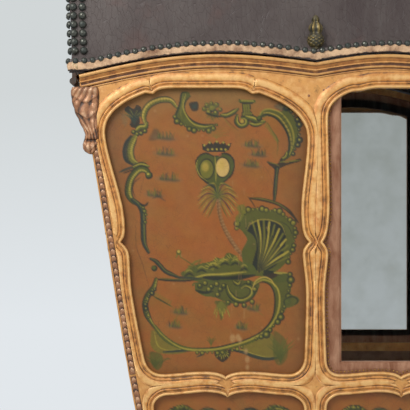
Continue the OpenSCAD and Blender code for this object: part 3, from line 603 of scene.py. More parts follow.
@dataclass(frozen=True)
class Gilding:
    """Old water gilding over red-brown ground, lighter on its ridges where it is rubbed and as painted highlight,
    darker in its hollows with dirt and painted shade.
    """

    name: str
    gold: RGB = srgb(222, 156, 78)
    # Pale gold of the ridges: rubbed gilt, and painted highlight.
    light: RGB = srgb(252, 208, 138)
    ground: RGB = srgb(194, 124, 62)
    # Dark of the hollows: dirt, and painted shade.
    dirt_and_shade: RGB = srgb(66, 36, 18)
    bare: float = 0.3
    metal: float = 0.2
    carved: bool = True

    def build(self) -> bpy.types.Material:
        """Mixes gold, pale ridges of wear and painted highlight, ground, and dark hollows of dirt and painted shade
        by the raise attribute and noise.
        """
        m = Material(self.name)
        g = m.g
        raise_ = g.attribute("raise") if self.carved else 0.62
        wear = g.group("wear_and_painted_light", {"Raise": raise_, "Amount": 0.7, "Scale": 55.0})
        where = g.place()
        patch = g.noise(where, 34, 6, 0.68, 0.3)
        colour = g.mix(g.span(patch, 0.36, 0.66), self.gold, self.ground)
        # Ridges turn pale: rubbed gilt, and painted highlight.
        colour = g.mix(g.math("MULTIPLY", wear.outputs["RubAndHighlight"], 0.85), colour, self.light)
        colour = g.mix(g.math("MULTIPLY", wear.outputs["Speck"], self.bare), colour, self.ground)
        # Hollows turn dark: dirt, and painted shade.
        colour = g.mix(g.math("MULTIPLY", wear.outputs["DirtAndShade"], 0.9), colour, self.dirt_and_shade)
        colour = g.mix(g.group("dust", {"Amount": 0.18}).outputs["Mask"], colour, srgb(196, 182, 164))
        rough = g.span(patch, 0.3, 0.75, 0.34, 0.58)
        metal = g.math("MULTIPLY", g.math("SUBTRACT", 1.0, wear.outputs["DirtAndShade"]), self.metal)
        m.set(Base_Color=colour, Roughness=rough, Metallic=metal)
        m.bump(g.noise(where, 260, 5, 0.7), 0.35, 0.0015)
        return m.mat


@dataclass(frozen=True)
class PaintedGround:
    """Oil painting on gold ground under old varnish, its picture in the paint attribute."""

    name: str = "painted_panel"

    def build(self) -> bpy.types.Material:
        """Paint times soft mottling, fine cracks, a varnish coat."""
        m = Material(self.name)
        g = m.g
        where = g.place()
        paint = g.attribute("paint", "Color")
        mottled = g.mix(0.85, paint, g.mix(g.noise(where, 48, 6, 0.65), srgb(214, 190, 120), srgb(255, 252,
                                                                                                  206)),
                        "MULTIPLY")
        fine = g.mix(g.span(g.noise(where, 420, 4, 0.7), 0.45, 0.75, 0, 0.22), mottled, srgb(96, 62, 34))
        crack = g.group("crazing", {"Scale": 75.0, "Amount": 0.55}).outputs["Crack"]
        colour = g.mix(g.math("MULTIPLY", crack, 0.6), fine, srgb(60, 38, 22))
        rough = g.span(g.noise(where, 22, 4), 0.3, 0.7, 0.36, 0.52)
        m.set(Base_Color=colour, Roughness=rough, Coat_Weight=0.12, Coat_Roughness=0.35)
        m.bump(g.math("SUBTRACT", g.noise(where, 300, 4, 0.6), g.math("MULTIPLY", crack, 0.8)), 0.25, 0.0006)
        return m.mat


@dataclass(frozen=True)
class OldLeather:
    """Dull brown-grey leather, crazed and dusty, darker in vertical bands as painted shade of its folds, with
    lighter streaks of painted sheen.
    """

    name: str = "old_leather"
    base: RGB = srgb(86, 75, 71)
    # Colour of the lighter vertical streaks, which are painted sheen.
    light: RGB = srgb(104, 98, 93)
    dark: RGB = srgb(64, 50, 48)
    red: RGB = srgb(102, 62, 52)

    def build(self) -> bpy.types.Material:
        """Two scales of cells for the grain, soft patches, vertical bands of painted fold shade, long light streaks
        of painted sheen, and dust.
        """
        m = Material(self.name)
        g = m.g
        where = g.place()
        patch = g.noise(where, 11, 6, 0.66, 0.4)
        fold_shade = g.noise(g.stretched(where, (7, 7, 0.8)), 1.0, 2, 0.5)
        streak = g.noise(g.stretched(where, (60, 60, 9)), 1.0, 4, 0.7)
        # Vertical bands from dark to base: painted shade of the leather's folds, with soft patches of real tone.
        colour = g.mix(g.span(g.math("ADD", g.math("MULTIPLY", fold_shade, 0.7), g.math("MULTIPLY", patch, 0.3)),
                              0.36, 0.62),
                       self.dark, self.base)
        # Lighter vertical streaks: painted sheen.
        colour = g.mix(g.span(streak, 0.5, 0.8, 0, 0.4), colour, self.light)
        colour = g.mix(g.span(g.noise(where, 5.5, 4, 0.6), 0.56, 0.72, 0, 0.5), colour, self.red)
        grain = g.cells(where, 420)
        crack = g.span(g.cells(g.stretched(where, (1, 1, 0.45)), 95), 0.03, 0.0)
        colour = g.mix(g.math("MULTIPLY", crack, g.span(patch, 0.4, 0.6, 0, 0.55)), colour, self.dark)
        colour = g.mix(g.group("dust", {"Amount": 0.35}).outputs["Mask"], colour, srgb(150, 140, 130))
        m.set(Base_Color=colour, Roughness=g.span(patch, 0.3, 0.7, 0.62, 0.46))
        height = g.math("ADD", g.math("MULTIPLY", grain, 0.5), g.math("MULTIPLY", g.noise(where, 60, 5,
                                                                                          0.6), 1.2))
        m.bump(g.math("SUBTRACT", height, crack), 0.5, 0.0012)
        return m.mat


@dataclass(frozen=True)
class Velvet:
    """Faded pile: streaky, paler where it is rubbed, with a soft sheen."""

    name: str
    deep: RGB = srgb(132, 86, 62)
    faded: RGB = srgb(178, 134, 106)
    sheen: float = 0.5

    def build(self) -> bpy.types.Material:
        """Mixes deep and faded by fine streaks and patches; the pile is fine noise."""
        m = Material(self.name)
        g = m.g
        where = g.place()
        streak = g.noise(g.stretched(where, (70, 70, 14)), 1.0, 5, 0.65, 0.5)
        patch = g.noise(where, 18, 5, 0.6)
        both = g.math("ADD", g.math("MULTIPLY", streak, 0.6), g.math("MULTIPLY", patch, 0.4))
        colour = g.mix(g.span(both, 0.38, 0.62), self.deep, self.faded)
        pile = g.noise(where, 900, 3, 0.7)
        colour = g.mix(g.span(pile, 0.5, 0.8, 0, 0.35), colour, srgb(84, 52, 38))
        m.set(Base_Color=colour, Roughness=0.92, Sheen_Weight=self.sheen, Sheen_Roughness=0.4,
              Sheen_Tint=(0.9, 0.72, 0.6, 1.0), Specular_IOR_Level=0.2)
        m.bump(g.math("ADD", pile, g.math("MULTIPLY", streak, 0.8)), 0.5, 0.001)
        return m.mat


@dataclass(frozen=True)
class WovenCloth:
    """Plain woven cloth, braid or silk, on UV coordinates in metres."""

    name: str
    thread: RGB
    shade: RGB
    threads: float = 700
    gloss: float = 0.0

    def build(self) -> bpy.types.Material:
        """Threads darker in their gaps, stained in patches."""
        m = Material(self.name)
        g = m.g
        weave = g.group("weave", {"Threads": self.threads})
        where = g.place()
        stain = g.noise(where, 26, 6, 0.68)
        colour = g.mix(g.span(stain, 0.42, 0.7), self.thread, self.shade)
        colour = g.mix(g.math("MULTIPLY", weave.outputs["Gap"], 0.55), colour, self.shade)
        m.set(Base_Color=colour, Roughness=g.span(stain, 0.3, 0.7, 0.7 - self.gloss, 0.9 - self.gloss),
              Sheen_Weight=0.15)
        m.bump(g.math("ADD", weave.outputs["Height"], g.noise(where, 500, 3, 0.7)), 0.5, 0.0008)
        return m.mat


@dataclass(frozen=True)
class Metal:
    """Worn iron, brass or bronze."""

    name: str
    base: RGB
    tarnish: RGB
    metal: float = 0.85
    rough: float = 0.38

    def build(self) -> bpy.types.Material:
        """Metal that turns to tarnish in patches and specks."""
        m = Material(self.name)
        g = m.g
        where = g.place()
        patch = g.span(g.noise(where, 70, 6, 0.7), 0.42, 0.64)
        m.set(Base_Color=g.mix(patch, self.base, self.tarnish), Metallic=g.span(patch, 0, 1, self.metal,
                                                                                self.metal * 0.4),
              Roughness=g.span(patch, 0, 1, self.rough, self.rough + 0.3))
        m.bump(g.noise(where, 400, 5, 0.7), 0.3, 0.0008)
        return m.mat


@dataclass(frozen=True)
class Wood:
    """Grained wood, plain or stained, its grain along X."""

    name: str
    light: RGB
    dark: RGB
    rough: float = 0.5
    scale: float = 1.0

    def build(self) -> bpy.types.Material:
        """Grain between two colours, dark pores, handling marks."""
        m = Material(self.name)
        g = m.g
        wood = g.group("wood_grain", {"Scale": self.scale})
        where = g.place()
        colour = g.mix(g.span(wood.outputs["Grain"], 0.35, 0.65), self.dark, self.light)
        colour = g.mix(g.math("MULTIPLY", wood.outputs["Pores"], 0.45), colour, self.dark)
        colour = g.mix(g.group("dust", {"Amount": 0.2}).outputs["Mask"], colour, srgb(160, 148, 132))
        m.set(Base_Color=colour, Roughness=g.span(g.noise(where, 24, 4), 0.3, 0.7, self.rough,
                                                  self.rough + 0.2))
        m.bump(g.math("SUBTRACT", wood.outputs["Grain"], wood.outputs["Pores"]), 0.25, 0.0008)
        return m.mat


@dataclass(frozen=True)
class OldGlass:
    """Thin clear glass with a slight grey tint and faint ripples."""

    name: str = "old_glass"

    def build(self) -> bpy.types.Material:
        """Full transmission, a soft ripple in the normal, specks of dust in the roughness."""
        m = Material(self.name)
        g = m.g
        where = g.place()
        m.set(Base_Color=g.mix(g.span(g.noise(where, 14, 4), 0.4, 0.7), (0.93, 0.95, 0.94), (0.84, 0.86,
                                                                                             0.83)),
              Roughness=g.span(g.noise(where, 130, 5, 0.7), 0.55, 0.8, 0.02, 0.18))
        m.set(Transmission_Weight=1.0, IOR=1.12)
        m.bump(g.noise(where, 9, 3), 0.12, 0.002)
        return m.mat


class Finish(Enum):
    """Every finish on the chair."""

    GILT = "gilt_wood"
    CORNICE = "gilt_cornice"
    GILT_PLAIN = "gilt_plain"
    CARVING = "gilt_carving"
    PANEL = "painted_panel"
    LEATHER = "old_leather"
    VELVET = "faded_velvet"
    CUSHION = "cushion_velvet"
    BRAID = "braid"
    SILK = "silk_lining"
    NAIL = "bronze_nails"
    SCRAP = "torn_scraps"
    FINIAL = "dark_bronze"
    PIPING = "piping_silk"
    BRASS = "brass"
    IRON = "iron"
    POLE = "pole_wood"
    PLAIN = "plain_wood"
    GLASS = "old_glass"


def build_finishes() -> dict[Finish, bpy.types.Material]:
    """Builds each finish once."""
    Effects().build()
    # In every gilding, light is the ridges' rubbed gilt and painted highlight, and dirt is the hollows' dirt and
    # painted shade.
    made = {
        Finish.GILT: Gilding("gilt_wood"),
        Finish.CORNICE: Gilding("gilt_cornice", gold=srgb(194, 130, 62), light=srgb(228, 180, 110),
                                ground=srgb(166, 104, 52)),
        Finish.GILT_PLAIN: Gilding("gilt_plain", carved=False, gold=srgb(222, 160, 88), ground=srgb(204,
                                                                                                    140, 76)),
        Finish.CARVING: Gilding("gilt_carving", gold=srgb(188, 132, 92), light=srgb(236, 196, 156),
                                ground=srgb(134, 88, 62), dirt_and_shade=srgb(44, 28, 20), metal=0.3),
        Finish.PANEL: PaintedGround(),
        Finish.LEATHER: OldLeather(),
        Finish.VELVET: Velvet("faded_velvet"),
        Finish.CUSHION: Velvet("cushion_velvet", deep=srgb(120, 66, 52), faded=srgb(164, 112, 90)),
        Finish.BRAID: WovenCloth("braid", srgb(232, 192, 150), srgb(128, 88, 64), 420),
        Finish.SILK: WovenCloth("silk_lining", srgb(158, 120, 92), srgb(112, 78, 58), 900, 0.18),
        Finish.NAIL: Metal("bronze_nails", srgb(92, 92, 84), srgb(44, 52, 50), 0.75, 0.3),
        Finish.SCRAP: Gilding("torn_scraps", gold=srgb(196, 166, 120), light=srgb(232, 208, 170),
                              ground=srgb(120, 84, 62), dirt_and_shade=srgb(48, 40, 36), metal=0.0),
        Finish.FINIAL: Gilding("dark_bronze", gold=srgb(120, 104, 62), light=srgb(182, 150, 84),
                               ground=srgb(70, 66, 46), dirt_and_shade=srgb(30, 30, 26), metal=0.5),
        Finish.PIPING: WovenCloth("piping_silk", srgb(176, 132, 92), srgb(110, 76, 50), 500),
        Finish.BRASS: Metal("brass", srgb(206, 160, 84), srgb(120, 86, 44), 0.9, 0.3),
        Finish.IRON: Metal("iron", srgb(82, 78, 74), srgb(92, 64, 46), 0.8, 0.5),
        Finish.POLE: Wood("pole_wood", srgb(150, 100, 58), srgb(84, 50, 28), 0.42),
        Finish.PLAIN: Wood("plain_wood", srgb(152, 112, 74), srgb(98, 66, 40), 0.62),
        Finish.GLASS: OldGlass(),
    }
    return {key: finish.build() for key, finish in made.items()}


def dress(obj: bpy.types.Object, material: bpy.types.Material) -> None:
    """Gives a piece one material."""
    obj.data.materials.clear()
    obj.data.materials.append(material)


# ---------------------------------------------------------------- carved and gilt work

class Trim:
    """Base of the sub-assemblies: the finishes and a log of what was built."""

    def __init__(self, finishes: dict[Finish, bpy.types.Material]) -> None:
        """Args: finishes: every finish, built."""
        self.finishes = finishes

    def put(self, name: str, verts: Array, faces: Array, body: str, finish: Finish, slot: str,
            **extra: object) -> bpy.types.Object:
        """Adds a mesh, dresses it and returns it."""
        obj = add_mesh(name, verts, faces, body, **extra)
        dress(obj, self.finishes[finish])
        return obj


def relaxed(path: Array, rounds: int = 14) -> Array:
    """A closed path with its small kinks smoothed and its cusps, where it turns by over 25 degrees, kept."""
    step = np.roll(path, -1, 0) - path
    angle = np.unwrap(np.arctan2(step[:, 1], step[:, 0]))
    turn = np.abs(np.diff(np.r_[angle[-1] - 2 * np.pi, angle]))
    turn = np.minimum(turn, np.abs(2 * np.pi - turn))
    sharp = turn > math.radians(25)
    sharp |= np.roll(sharp, 1) | np.roll(sharp, -1)
    for _ in range(rounds):
        mean = (np.roll(path, 1, 0) + 2 * path + np.roll(path, -1, 0)) / 4
        path = np.where(sharp[:, None], path, mean)
    return path


def ball_room(points: Array, normals: Array, others: Array) -> Array:
    """Radius of the largest ball that touches each point on its normal's side and holds no other point.

    For a ball on p with normal N that also touches q, r = |q - p|^2 / (2 N.(q - p)); the least r is taken.
    """
    gap = others[None] - points[:, None]
    ahead = np.einsum("ijk,ik->ij", gap, normals)
    square = (gap**2).sum(2)
    radius = np.where((ahead > 1e-3) & (square > 1.0), square / (2 * np.maximum(ahead, 1e-6)), 1e9)
    return radius.min(1)


@dataclass(frozen=True)
class Moulding:
    """A profile carried round an opening: pairs of distance from the sight and height, and the raise there."""

    # The third column, the raise, is low in the quirks and high on the beads; the gilt finish turns it into painted
    # shade and highlight as well as dirt and wear.
    profile: tuple[tuple[float, float, float], ...] = (
        (-0.8, -10, 0.15), (-1.2, -2, 0.4), (-1.0, 1.6, 0.8), (0.4, 4.0, 1.0), (2.4, 5.0, 1.0), (4.4, 4.2,
                                                                                                 0.9),
        (5.6, 2.0, 0.4), (6.2, -0.2, 0.08), (7.4, -0.2, 0.08), (8.2, 1.0, 0.35), (10.6, 1.8, 0.5), (12.8,
                                                                                                    2.2,
                                                                                                        0.55),
        (13.6, 0.8, 0.16), (14.4, 0.8, 0.16), (15.2, 2.4, 0.6), (17.6, 3.4, 0.8), (21.6, 4.0, 0.95), (26.0,
                                                                                                      3.8,
                                                                                                          0.9),
        (30.0, 2.6, 0.7), (33.6, 0.8, 0.45), (35.4, -0.2, 0.3))

    def sweep(self, outline: Array, neighbours: list[Array], plane: Plane) -> tuple[Array, Array, Array]:
        """Carries the profile round a closed outline; offsets stop half-way to whatever faces them.

        Args:
            outline: closed counterclockwise outline in the plane's drawing.
            neighbours: other outlines whose mouldings could meet this one.
            plane: the face that it lies on.

        Returns:
            vertices, faces and the raise of each vertex.
        """
        path = relaxed(spread(outline, 2.6, closed=True))
        normals = outward(path)
        around = np.vstack([path, *neighbours])
        room = ball_room(path, normals, around)
        room = np.minimum.reduce([room, np.roll(room, 1), np.roll(room, -1)])
        soft = sum(np.roll(room, k) for k in range(-3, 4)) / 7
        room = np.where(room > 9, np.minimum(soft, room + 6), room)
        prof = np.array(self.profile)
        offset = np.minimum(prof[None, :, 0], room[:, None] - 0.1)
        height = np.where(prof[None, :, 0] > room[:, None], np.interp(offset, prof[2:, 0], prof[2:, 1]),
                          prof[None, :, 1])
        where = path[:, None] + normals[:, None] * offset[..., None]
        verts = plane.place(where[..., 0], where[..., 1], height).reshape(-1, 3)
        faces = grid_faces(len(path), len(prof), wrap_n=True, flip=not plane.turns_right)
        chips = smooth_noise(verts, 0.05, 3) * 0.12 + smooth_noise(verts, 0.013, 4) * 0.08
        return verts, faces[:, ::-1], np.clip(np.tile(prof[:, 2], len(path)) + chips, 0, 1)


def carry(path: Array, profile: Array, plane: Plane, closed_profile: bool = False) -> tuple[Array, Array,
                                                                                            Array]:
    """Carries an open profile along an open path on a face.

    Args:
        path: (n, 2) places in the plane's drawing; the profile's first number runs to the left of it.
        profile: (m, 3) distance to the left, height off the face, raise.
        plane: the face.
        closed_profile: joins the profile's ends.

    Returns:
        vertices, faces and raises.
    """
    left = -outward(path, closed=False)
    where = path[:, None] + left[:, None] * profile[None, :, 0, None]
    height = np.broadcast_to(profile[None, :, 1], where.shape[:2])
    verts = plane.place(where[..., 0], where[..., 1], height).reshape(-1, 3)
    faces = grid_faces(len(path), len(profile), wrap_m=closed_profile, flip=not plane.turns_right)
    return verts, faces, np.tile(profile[:, 2], len(path))


@dataclass
class GiltFrames(Trim):
    """Mouldings round every opening, the cornices, the carved corner strips and the frames' own finish."""

    finishes: dict[Finish, bpy.types.Material]
    moulding: Moulding = field(default_factory=Moulding)
    # The third column is the raise: near nothing in the quirks, where the gilt paints shade as well as dirt, and
    # high on the beads for painted highlight and wear.
    cornice: tuple[tuple[float, float, float], ...] = (
        (-34.0, 0.2, 0.2), (-33.2, 1.8, 0.8), (-31.4, 2.2, 0.9), (-30.4, 0.4, 0.0), (-28.8, 0.4, 0.0),
        (-28.2, 2.8, 0.8), (-26.8, 4.2, 0.95), (-24.8, 4.4, 0.9), (-23.6, 3.8, 0.3), (-22.8, 3.7, 0.0),
        (-19.6, 4.0, 0.2), (-17.4, 5.4, 0.35), (-14.0, 7.2, 0.5), (-10.6, 8.6, 0.6), (-9.0, 10.6, 0.6),
        (-8.0, 10.6, 0.05), (-7.0, 12.6, 0.8), (-5.6, 13.6, 1.0), (-1.6, 13.8, 1.0), (0.2, 12.6, 0.8),
        (0.7, 9.0, 0.4), (0.7, 1.0, 0.2))
    strip_w: float = 13.0

    def build(self) -> None:
        """Builds all of it and dresses the frame nodes that stay."""
        self.mouldings()
        self.cornices()
        self.corner_strips()
        self.mortises()
        self.dress_nodes()

    def mouldings(self) -> None:
        """One piece of sight moulding for each face of the cabin."""
        outlines = {bay: sight.outline() for bay, sight in SIGHTS.items()}
        side = (Bay.REAR_UPPER, Bay.WINDOW, Bay.REAR_LOWER, Bay.FRONT_LOWER)
        for name, plane, bays, body in (
                ("right_mouldings", "right", side, "chair"), ("left_mouldings", "left", side, "chair"),
                ("back_upper_moulding", "back_up", (Bay.BACK_UPPER,), "chair"),
                ("back_lower_moulding", "back_low", (Bay.BACK_LOWER,), "chair"),
                ("door_mouldings", "door", (Bay.DOOR_WINDOW, Bay.DOOR_PANEL), "door")):
            parts, raises = [], []
            for bay in bays:
                others = [spread(outlines[b], 3.0, closed=True) for b in bays if b != bay]
                others += self.limits(plane)
                verts, faces, rise = self.moulding.sweep(outlines[bay], others, PLANES[plane])
                parts.append((verts, faces))
                raises.append(rise)
            verts, faces = merged(parts)
            self.put(name, verts, faces, body, Finish.GILT, "gilt_wood",
                     masks={"raise": np.concatenate(raises)})

    def limits(self, plane: str) -> list[Array]:
        """Lines that hold the side mouldings off the corner strips and the sills; each stands twice as far away."""
        c = LINES
        zs = np.arange(c.sill_top - 20, c.crest_z, 5.0)
        if plane in ("right", "left"):
            xs = np.arange(c.back_top, c.front_x, 5.0)
            back = np.stack([[c.back_edge(z) - 8 for z in zs], zs], 1)
            return [back, np.stack([zs * 0 + c.front_x + 2, zs], 1), np.stack([xs,
                                                                               xs * 0 + c.sill_top - 13], 1)]
        if plane == "door":
            return [np.stack([zs * 0 + side * (c.door_half + 38), zs], 1) for side in (-1, 1)]
        return []

    def cornices(self) -> None:
        """A cornice along each crest, its profile hung from the crest line."""
        c = LINES
        prof = np.array(self.cornice)
        xs = np.linspace(c.back_top - 1, c.front_x + 1, 210)
        side = np.stack([xs, c.crest(xs)], 1)
        for name in ("right", "left"):
            verts, faces, rise = carry(side, prof, PLANES[name])
            self.put(f"{name}_cornice", verts, faces, "chair", Finish.CORNICE, "gilt_wood",
                     masks={"raise": rise})
        low = prof[prof[:, 0] > -28.5] * np.array([1, 0.7, 1])
        low = np.vstack([[-28.5, 0.2, 0.2], low])
        ys = np.linspace(-c.half_w + 1, c.half_w - 1, 140)
        up = math.hypot(1, c.back_lean)
        back = np.stack([ys, (c.cross_crest(ys) - c.waist_z) * up], 1)
        verts, faces, rise = carry(back, low, PLANES["back_up"])
        self.put("back_cornice", verts, faces, "chair", Finish.CORNICE, "gilt_wood", masks={"raise": rise})
        front = np.stack([ys, c.cross_crest(ys)], 1)
        verts, faces, rise = carry(front, low, PLANES["front"])
        self.put("front_cornice", verts, faces, "chair", Finish.CORNICE, "gilt_wood", masks={"raise": rise})

    def _strip(self, edge: Array, plane: Plane, way: int) -> tuple[Array, Array, Array]:
        """A carved strip beside an edge: overlapping husks, h = |sin| of the place along, across a round back.

        Each husk's ridge bends down at its sides, so the phase shifts with distance from the strip's middle.
        """
        path = spread(edge, 1.6)
        t = np.linspace(-1, 1, 11)
        run = np.r_[0, np.cumsum(np.linalg.norm(np.diff(path, axis=0), axis=1))]
        phase = run[:, None] / 15.0 + 0.32 * np.abs(t)[None] ** 1.5
        husk = np.mod(phase, 1.0)
        back = np.sqrt(np.maximum(0, 1 - t**2))[None]
        height = back * (1.2 + 3.4 * husk**0.8) - 0.25 * (np.abs(t)[None] < 0.12)
        left = -outward(path, closed=False)
        where = path[:, None] + left[:, None] * (way * (t[None, :, None] * self.strip_w / 2))
        verts = plane.place(where[..., 0], where[..., 1], height + 0.1).reshape(-1, 3)
        faces = grid_faces(len(path), len(t), flip=plane.turns_right != (way > 0))
        return verts, faces, (back * husk**0.7).ravel()

    def corner_strips(self) -> None:
        """Husk strips down the back corners and up the front corners of both sides."""
        c = LINES
        inset = 9.0
        for name in ("right", "left"):
            parts, raises = [], []
            zs = np.linspace(c.waist_z + 2, c.crest_z - 152, 60)
            upper = np.stack([[c.back_edge(z) + inset for z in zs], zs], 1)
            zs = np.linspace(c.sill_top + 4, c.waist_z - 2, 60)
            lower = np.stack([[c.back_edge(z) + inset for z in zs], zs], 1)
            fore = np.stack([np.full(60, c.front_x - inset), np.linspace(c.sill_top + 4, c.crest_z - 152,
                                                                         60)], 1)
            for edge in (upper, lower, fore):
                verts, faces, rise = self._strip(edge, PLANES[name], 1)
                parts.append((verts, faces))
                raises.append(rise)
            verts, faces = merged(parts)
            self.put(f"{name}_corner_strips", verts, faces, "chair", Finish.CARVING, "gilt_wood",
                     masks={"raise": np.concatenate(raises)})

    def mortises(self) -> None:
        """Heads of the dowels at each stile's top: small domes, h = sqrt(1 - r^2)."""
        spots = ((79, 1423), (45, 1411), (84, 1411), (52, 792), (70, 770), (-338, 792), (440, 1411), (440,
                                                                                                      776))
        for name in ("right", "left"):
            parts = [disc_of(PLANES[name], x, z, 3.0, 1.1) for x, z in spots]
            verts, faces = merged(parts)
            self.put(f"{name}_dowels", verts, faces, "chair", Finish.CARVING, "gilt_wood",
                     masks={"raise": np.full(len(verts), 0.3)})

    def dress_nodes(self) -> None:
        """The frame nodes keep their shapes and take the gilt or wood finishes."""
        gilt = ["side_sills", "back_sill", "front_sill", "feet", "back_upper_frame", "back_lower_frame",
                "front_surround", "door_frame"]
        gilt += [f"{side}_{part}" for side in ("right", "left")
                 for part in ("rear_post", "stile", "front_post", "waist_rails", "top_rail")]
        for node in gilt:
            dress(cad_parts[node], self.finishes[Finish.GILT_PLAIN])
        for node in ("floor_board", "seat_box"):
            dress(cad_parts[node], self.finishes[Finish.PLAIN])
        for node in ("right_window_glass", "left_window_glass", "door_glass"):
            dress(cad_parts[node], self.finishes[Finish.GLASS])
        for node in ("pole_brackets", "roof_hinge_knuckles", "roof_hinge_leaves"):
            dress(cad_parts[node], self.finishes[Finish.IRON])
        for node in ("door_hinge_pins", "door_hinge_eyes", "door_knob"):
            dress(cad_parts[node], self.finishes[Finish.BRASS])
        for node in ("right_pole", "left_pole"):
            dress(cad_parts[node], self.finishes[Finish.POLE])
        for side in ("right", "left"):
            dress(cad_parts[f"{side}_sash"], self.finishes[Finish.VELVET])
        panels = [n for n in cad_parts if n.endswith("_panel")]
        for node in panels:
            dress(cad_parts[node], self.finishes[Finish.PLAIN])
        dress(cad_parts["corner_carvings"], self.finishes[Finish.CARVING])
        dress(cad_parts["roof_rim"], self.finishes[Finish.LEATHER])
        dress(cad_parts["roof_shell"], self.finishes[Finish.LEATHER])
        dress(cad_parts["roof_finials"], self.finishes[Finish.CARVING])
        for node in ("seat_cushion", "back_cushion"):
            dress(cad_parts[node], self.finishes[Finish.CUSHION])


def disc_of(plane: Plane, a: float, b: float, radius: float, rise: float) -> tuple[Array, Array]:
    """A low dome on a face: rings of 10 points at heights rise * sqrt(1 - r^2)."""
    r = np.array([1.0, 0.85, 0.5, 0.02])
    t = np.linspace(0, 2 * np.pi, 10, endpoint=False)
    aa = a + radius * r[:, None] * np.cos(t)
    bb = b + radius * r[:, None] * np.sin(t)
    hh = np.broadcast_to(rise * np.sqrt(np.maximum(0, 1 - r**2))[:, None], aa.shape)
    verts = plane.place(aa, bb, hh).reshape(-1, 3)
    return verts, grid_faces(4, 10, wrap_m=True, flip=plane.turns_right)


# ---------------------------------------------------------------- floor, light and camera

@dataclass
class Studio:
    """Pale floor and backdrop, soft lights, and the camera."""

    camera_at: tuple[float, float, float] = (-0.1886, -2.95, 1.165)
    lens: float = 101.46
    key: float = 80
    fill: float = 23
    world: float = 0.56
    floor_r: float = 2.6

    def build(self) -> None:
        """Makes everything that isn't the chair."""
        self.camera()
        self.floor()
        self.lights()

    def camera(self) -> None:
        """A level camera beside the chair."""
        data = bpy.data.cameras.new("camera")
        data.lens = self.lens
        data.sensor_width = 36
        data.clip_end = 100
        obj = bpy.data.objects.new("camera", data)
        obj.location = self.camera_at
        obj.rotation_euler = (math.radians(90), 0, 0)
        bpy.context.scene.collection.objects.link(obj)
        bpy.context.scene.camera = obj
        bpy.context.scene.view_settings.view_transform = "Standard"

    def floor(self) -> None:
        """A round floor at z = 0 that fades out towards its rim."""
        mat = bpy.data.materials.new("pale_floor")
        mat.use_nodes = True
        g = Graph(mat.node_tree)
        shader = mat.node_tree.nodes["Principled BSDF"]
        reach = g.node("ShaderNodeVectorMath", {0: g.place()}, operation="LENGTH").outputs["Value"]
        g.feed(shader.inputs["Alpha"], g.span(reach, self.floor_r * 0.72, self.floor_r * 0.98, 1, 0))
        g.feed(shader.inputs["Base Color"], srgb(222, 226, 228))
        g.feed(shader.inputs["Roughness"], 0.8)
        r = np.array([0.02, 0.5, 1.0])[:, None] * self.floor_r
        t = np.linspace(0, 2 * np.pi, 96, endpoint=False)[None]
        verts = np.stack([r * np.cos(t), r * np.sin(t), 0 * r * t], -1).reshape(-1, 3)
        mesh = bpy.data.meshes.new("floor")
        mesh.from_pydata(verts.tolist(), [], grid_faces(3, 96, wrap_m=True).tolist())
        obj = bpy.data.objects.new("floor", mesh)
        obj.data.materials.append(mat)
        bpy.context.scene.collection.objects.link(obj)

    def lights(self) -> None:
        """A pale even sky, a large key from the front left above, and fills."""
        world = bpy.data.worlds.new("pale_sky")
        bpy.context.scene.world = world
        world.use_nodes = True
        g = Graph(world.node_tree)
        back = world.node_tree.nodes["Background"]
        tall = g.node("ShaderNodeSeparateXYZ", {0: g.node("ShaderNodeTexCoord").outputs["Generated"]}).outputs[2]
        g.feed(back.inputs["Color"], g.mix(g.span(tall, -0.1, 0.1), srgb(226, 231, 235), srgb(209, 214, 215)))
        seen = g.node("ShaderNodeLightPath").outputs["Is Camera Ray"]
        g.feed(back.inputs["Strength"], g.span(seen, 0, 1, self.world, 1.0))
        for name, power, size, at, aim in (
                ("key", self.key, 1.8, (-1.6, -2.6, 3.1), (-0.1, -0.2, 1.0)),
                ("fill", self.fill, 2.4, (2.3, -2.9, 1.9), (0, 0, 0.9)),
                ("back_fill", self.fill, 2.4, (-2.6, 2.6, 2.6), (0, 0, 0.9)),
                ("front_fill", self.fill, 2.4, (3.0, 2.2, 2.4), (0, 0, 0.9))):
            data = bpy.data.lights.new(name, "AREA")
            data.energy = power
            data.shape = "DISK"
            data.size = size
            obj = bpy.data.objects.new(name, data)
            obj.location = at
            way = np.array(aim) - np.array(at)
            obj.rotation_euler = (math.acos(-way[2] / np.linalg.norm(way)) if way[2] else math.pi / 2, 0,
                                  math.atan2(way[1], way[0]) - math.pi / 2)
            bpy.context.scene.collection.objects.link(obj)


# ---------------------------------------------------------------- painted panels

Points = tuple[tuple[float, float], ...]


class Tint(Enum):
    """The painter's colours."""

    DARK = srgb(26, 36, 34)
    BLUE = srgb(42, 58, 58)
    GREEN = srgb(78, 88, 36)
    MOSS = srgb(112, 112, 44)
    LIGHT = srgb(178, 164, 74)
    STRAW = srgb(204, 176, 92)
    BROWN = srgb(96, 62, 32)
    UMBER = srgb(118, 76, 38)
    CREAM = srgb(206, 176, 122)
    ROSE = srgb(176, 92, 66)
    GREY = srgb(122, 106, 82)
    PALE = srgb(196, 160, 126)


def eased(points: Points | Array, step: float = 1.6) -> Array:
    """A smooth line through points: Catmull-Rom stretches sampled about a step apart."""
    p = np.asarray(points, float)
    if len(p) < 3:
        return spread(p, step)
    p = np.vstack([2 * p[0] - p[1], p, 2 * p[-1] - p[-2]])
    t = np.linspace(0, 1, 12, endpoint=False)[:, None]
    a, b, c, d = p[:-3, None], p[1:-2, None], p[2:-1, None], p[3:, None]
    line = 0.5 * (2 * b + (c - a) * t + (2 * a - 5 * b + 4 * c - d) * t**2 + (3 * b - a - 3 * c + d) * t**3)
    return spread(np.vstack([line.reshape(-1, 2), p[-2]]), step)


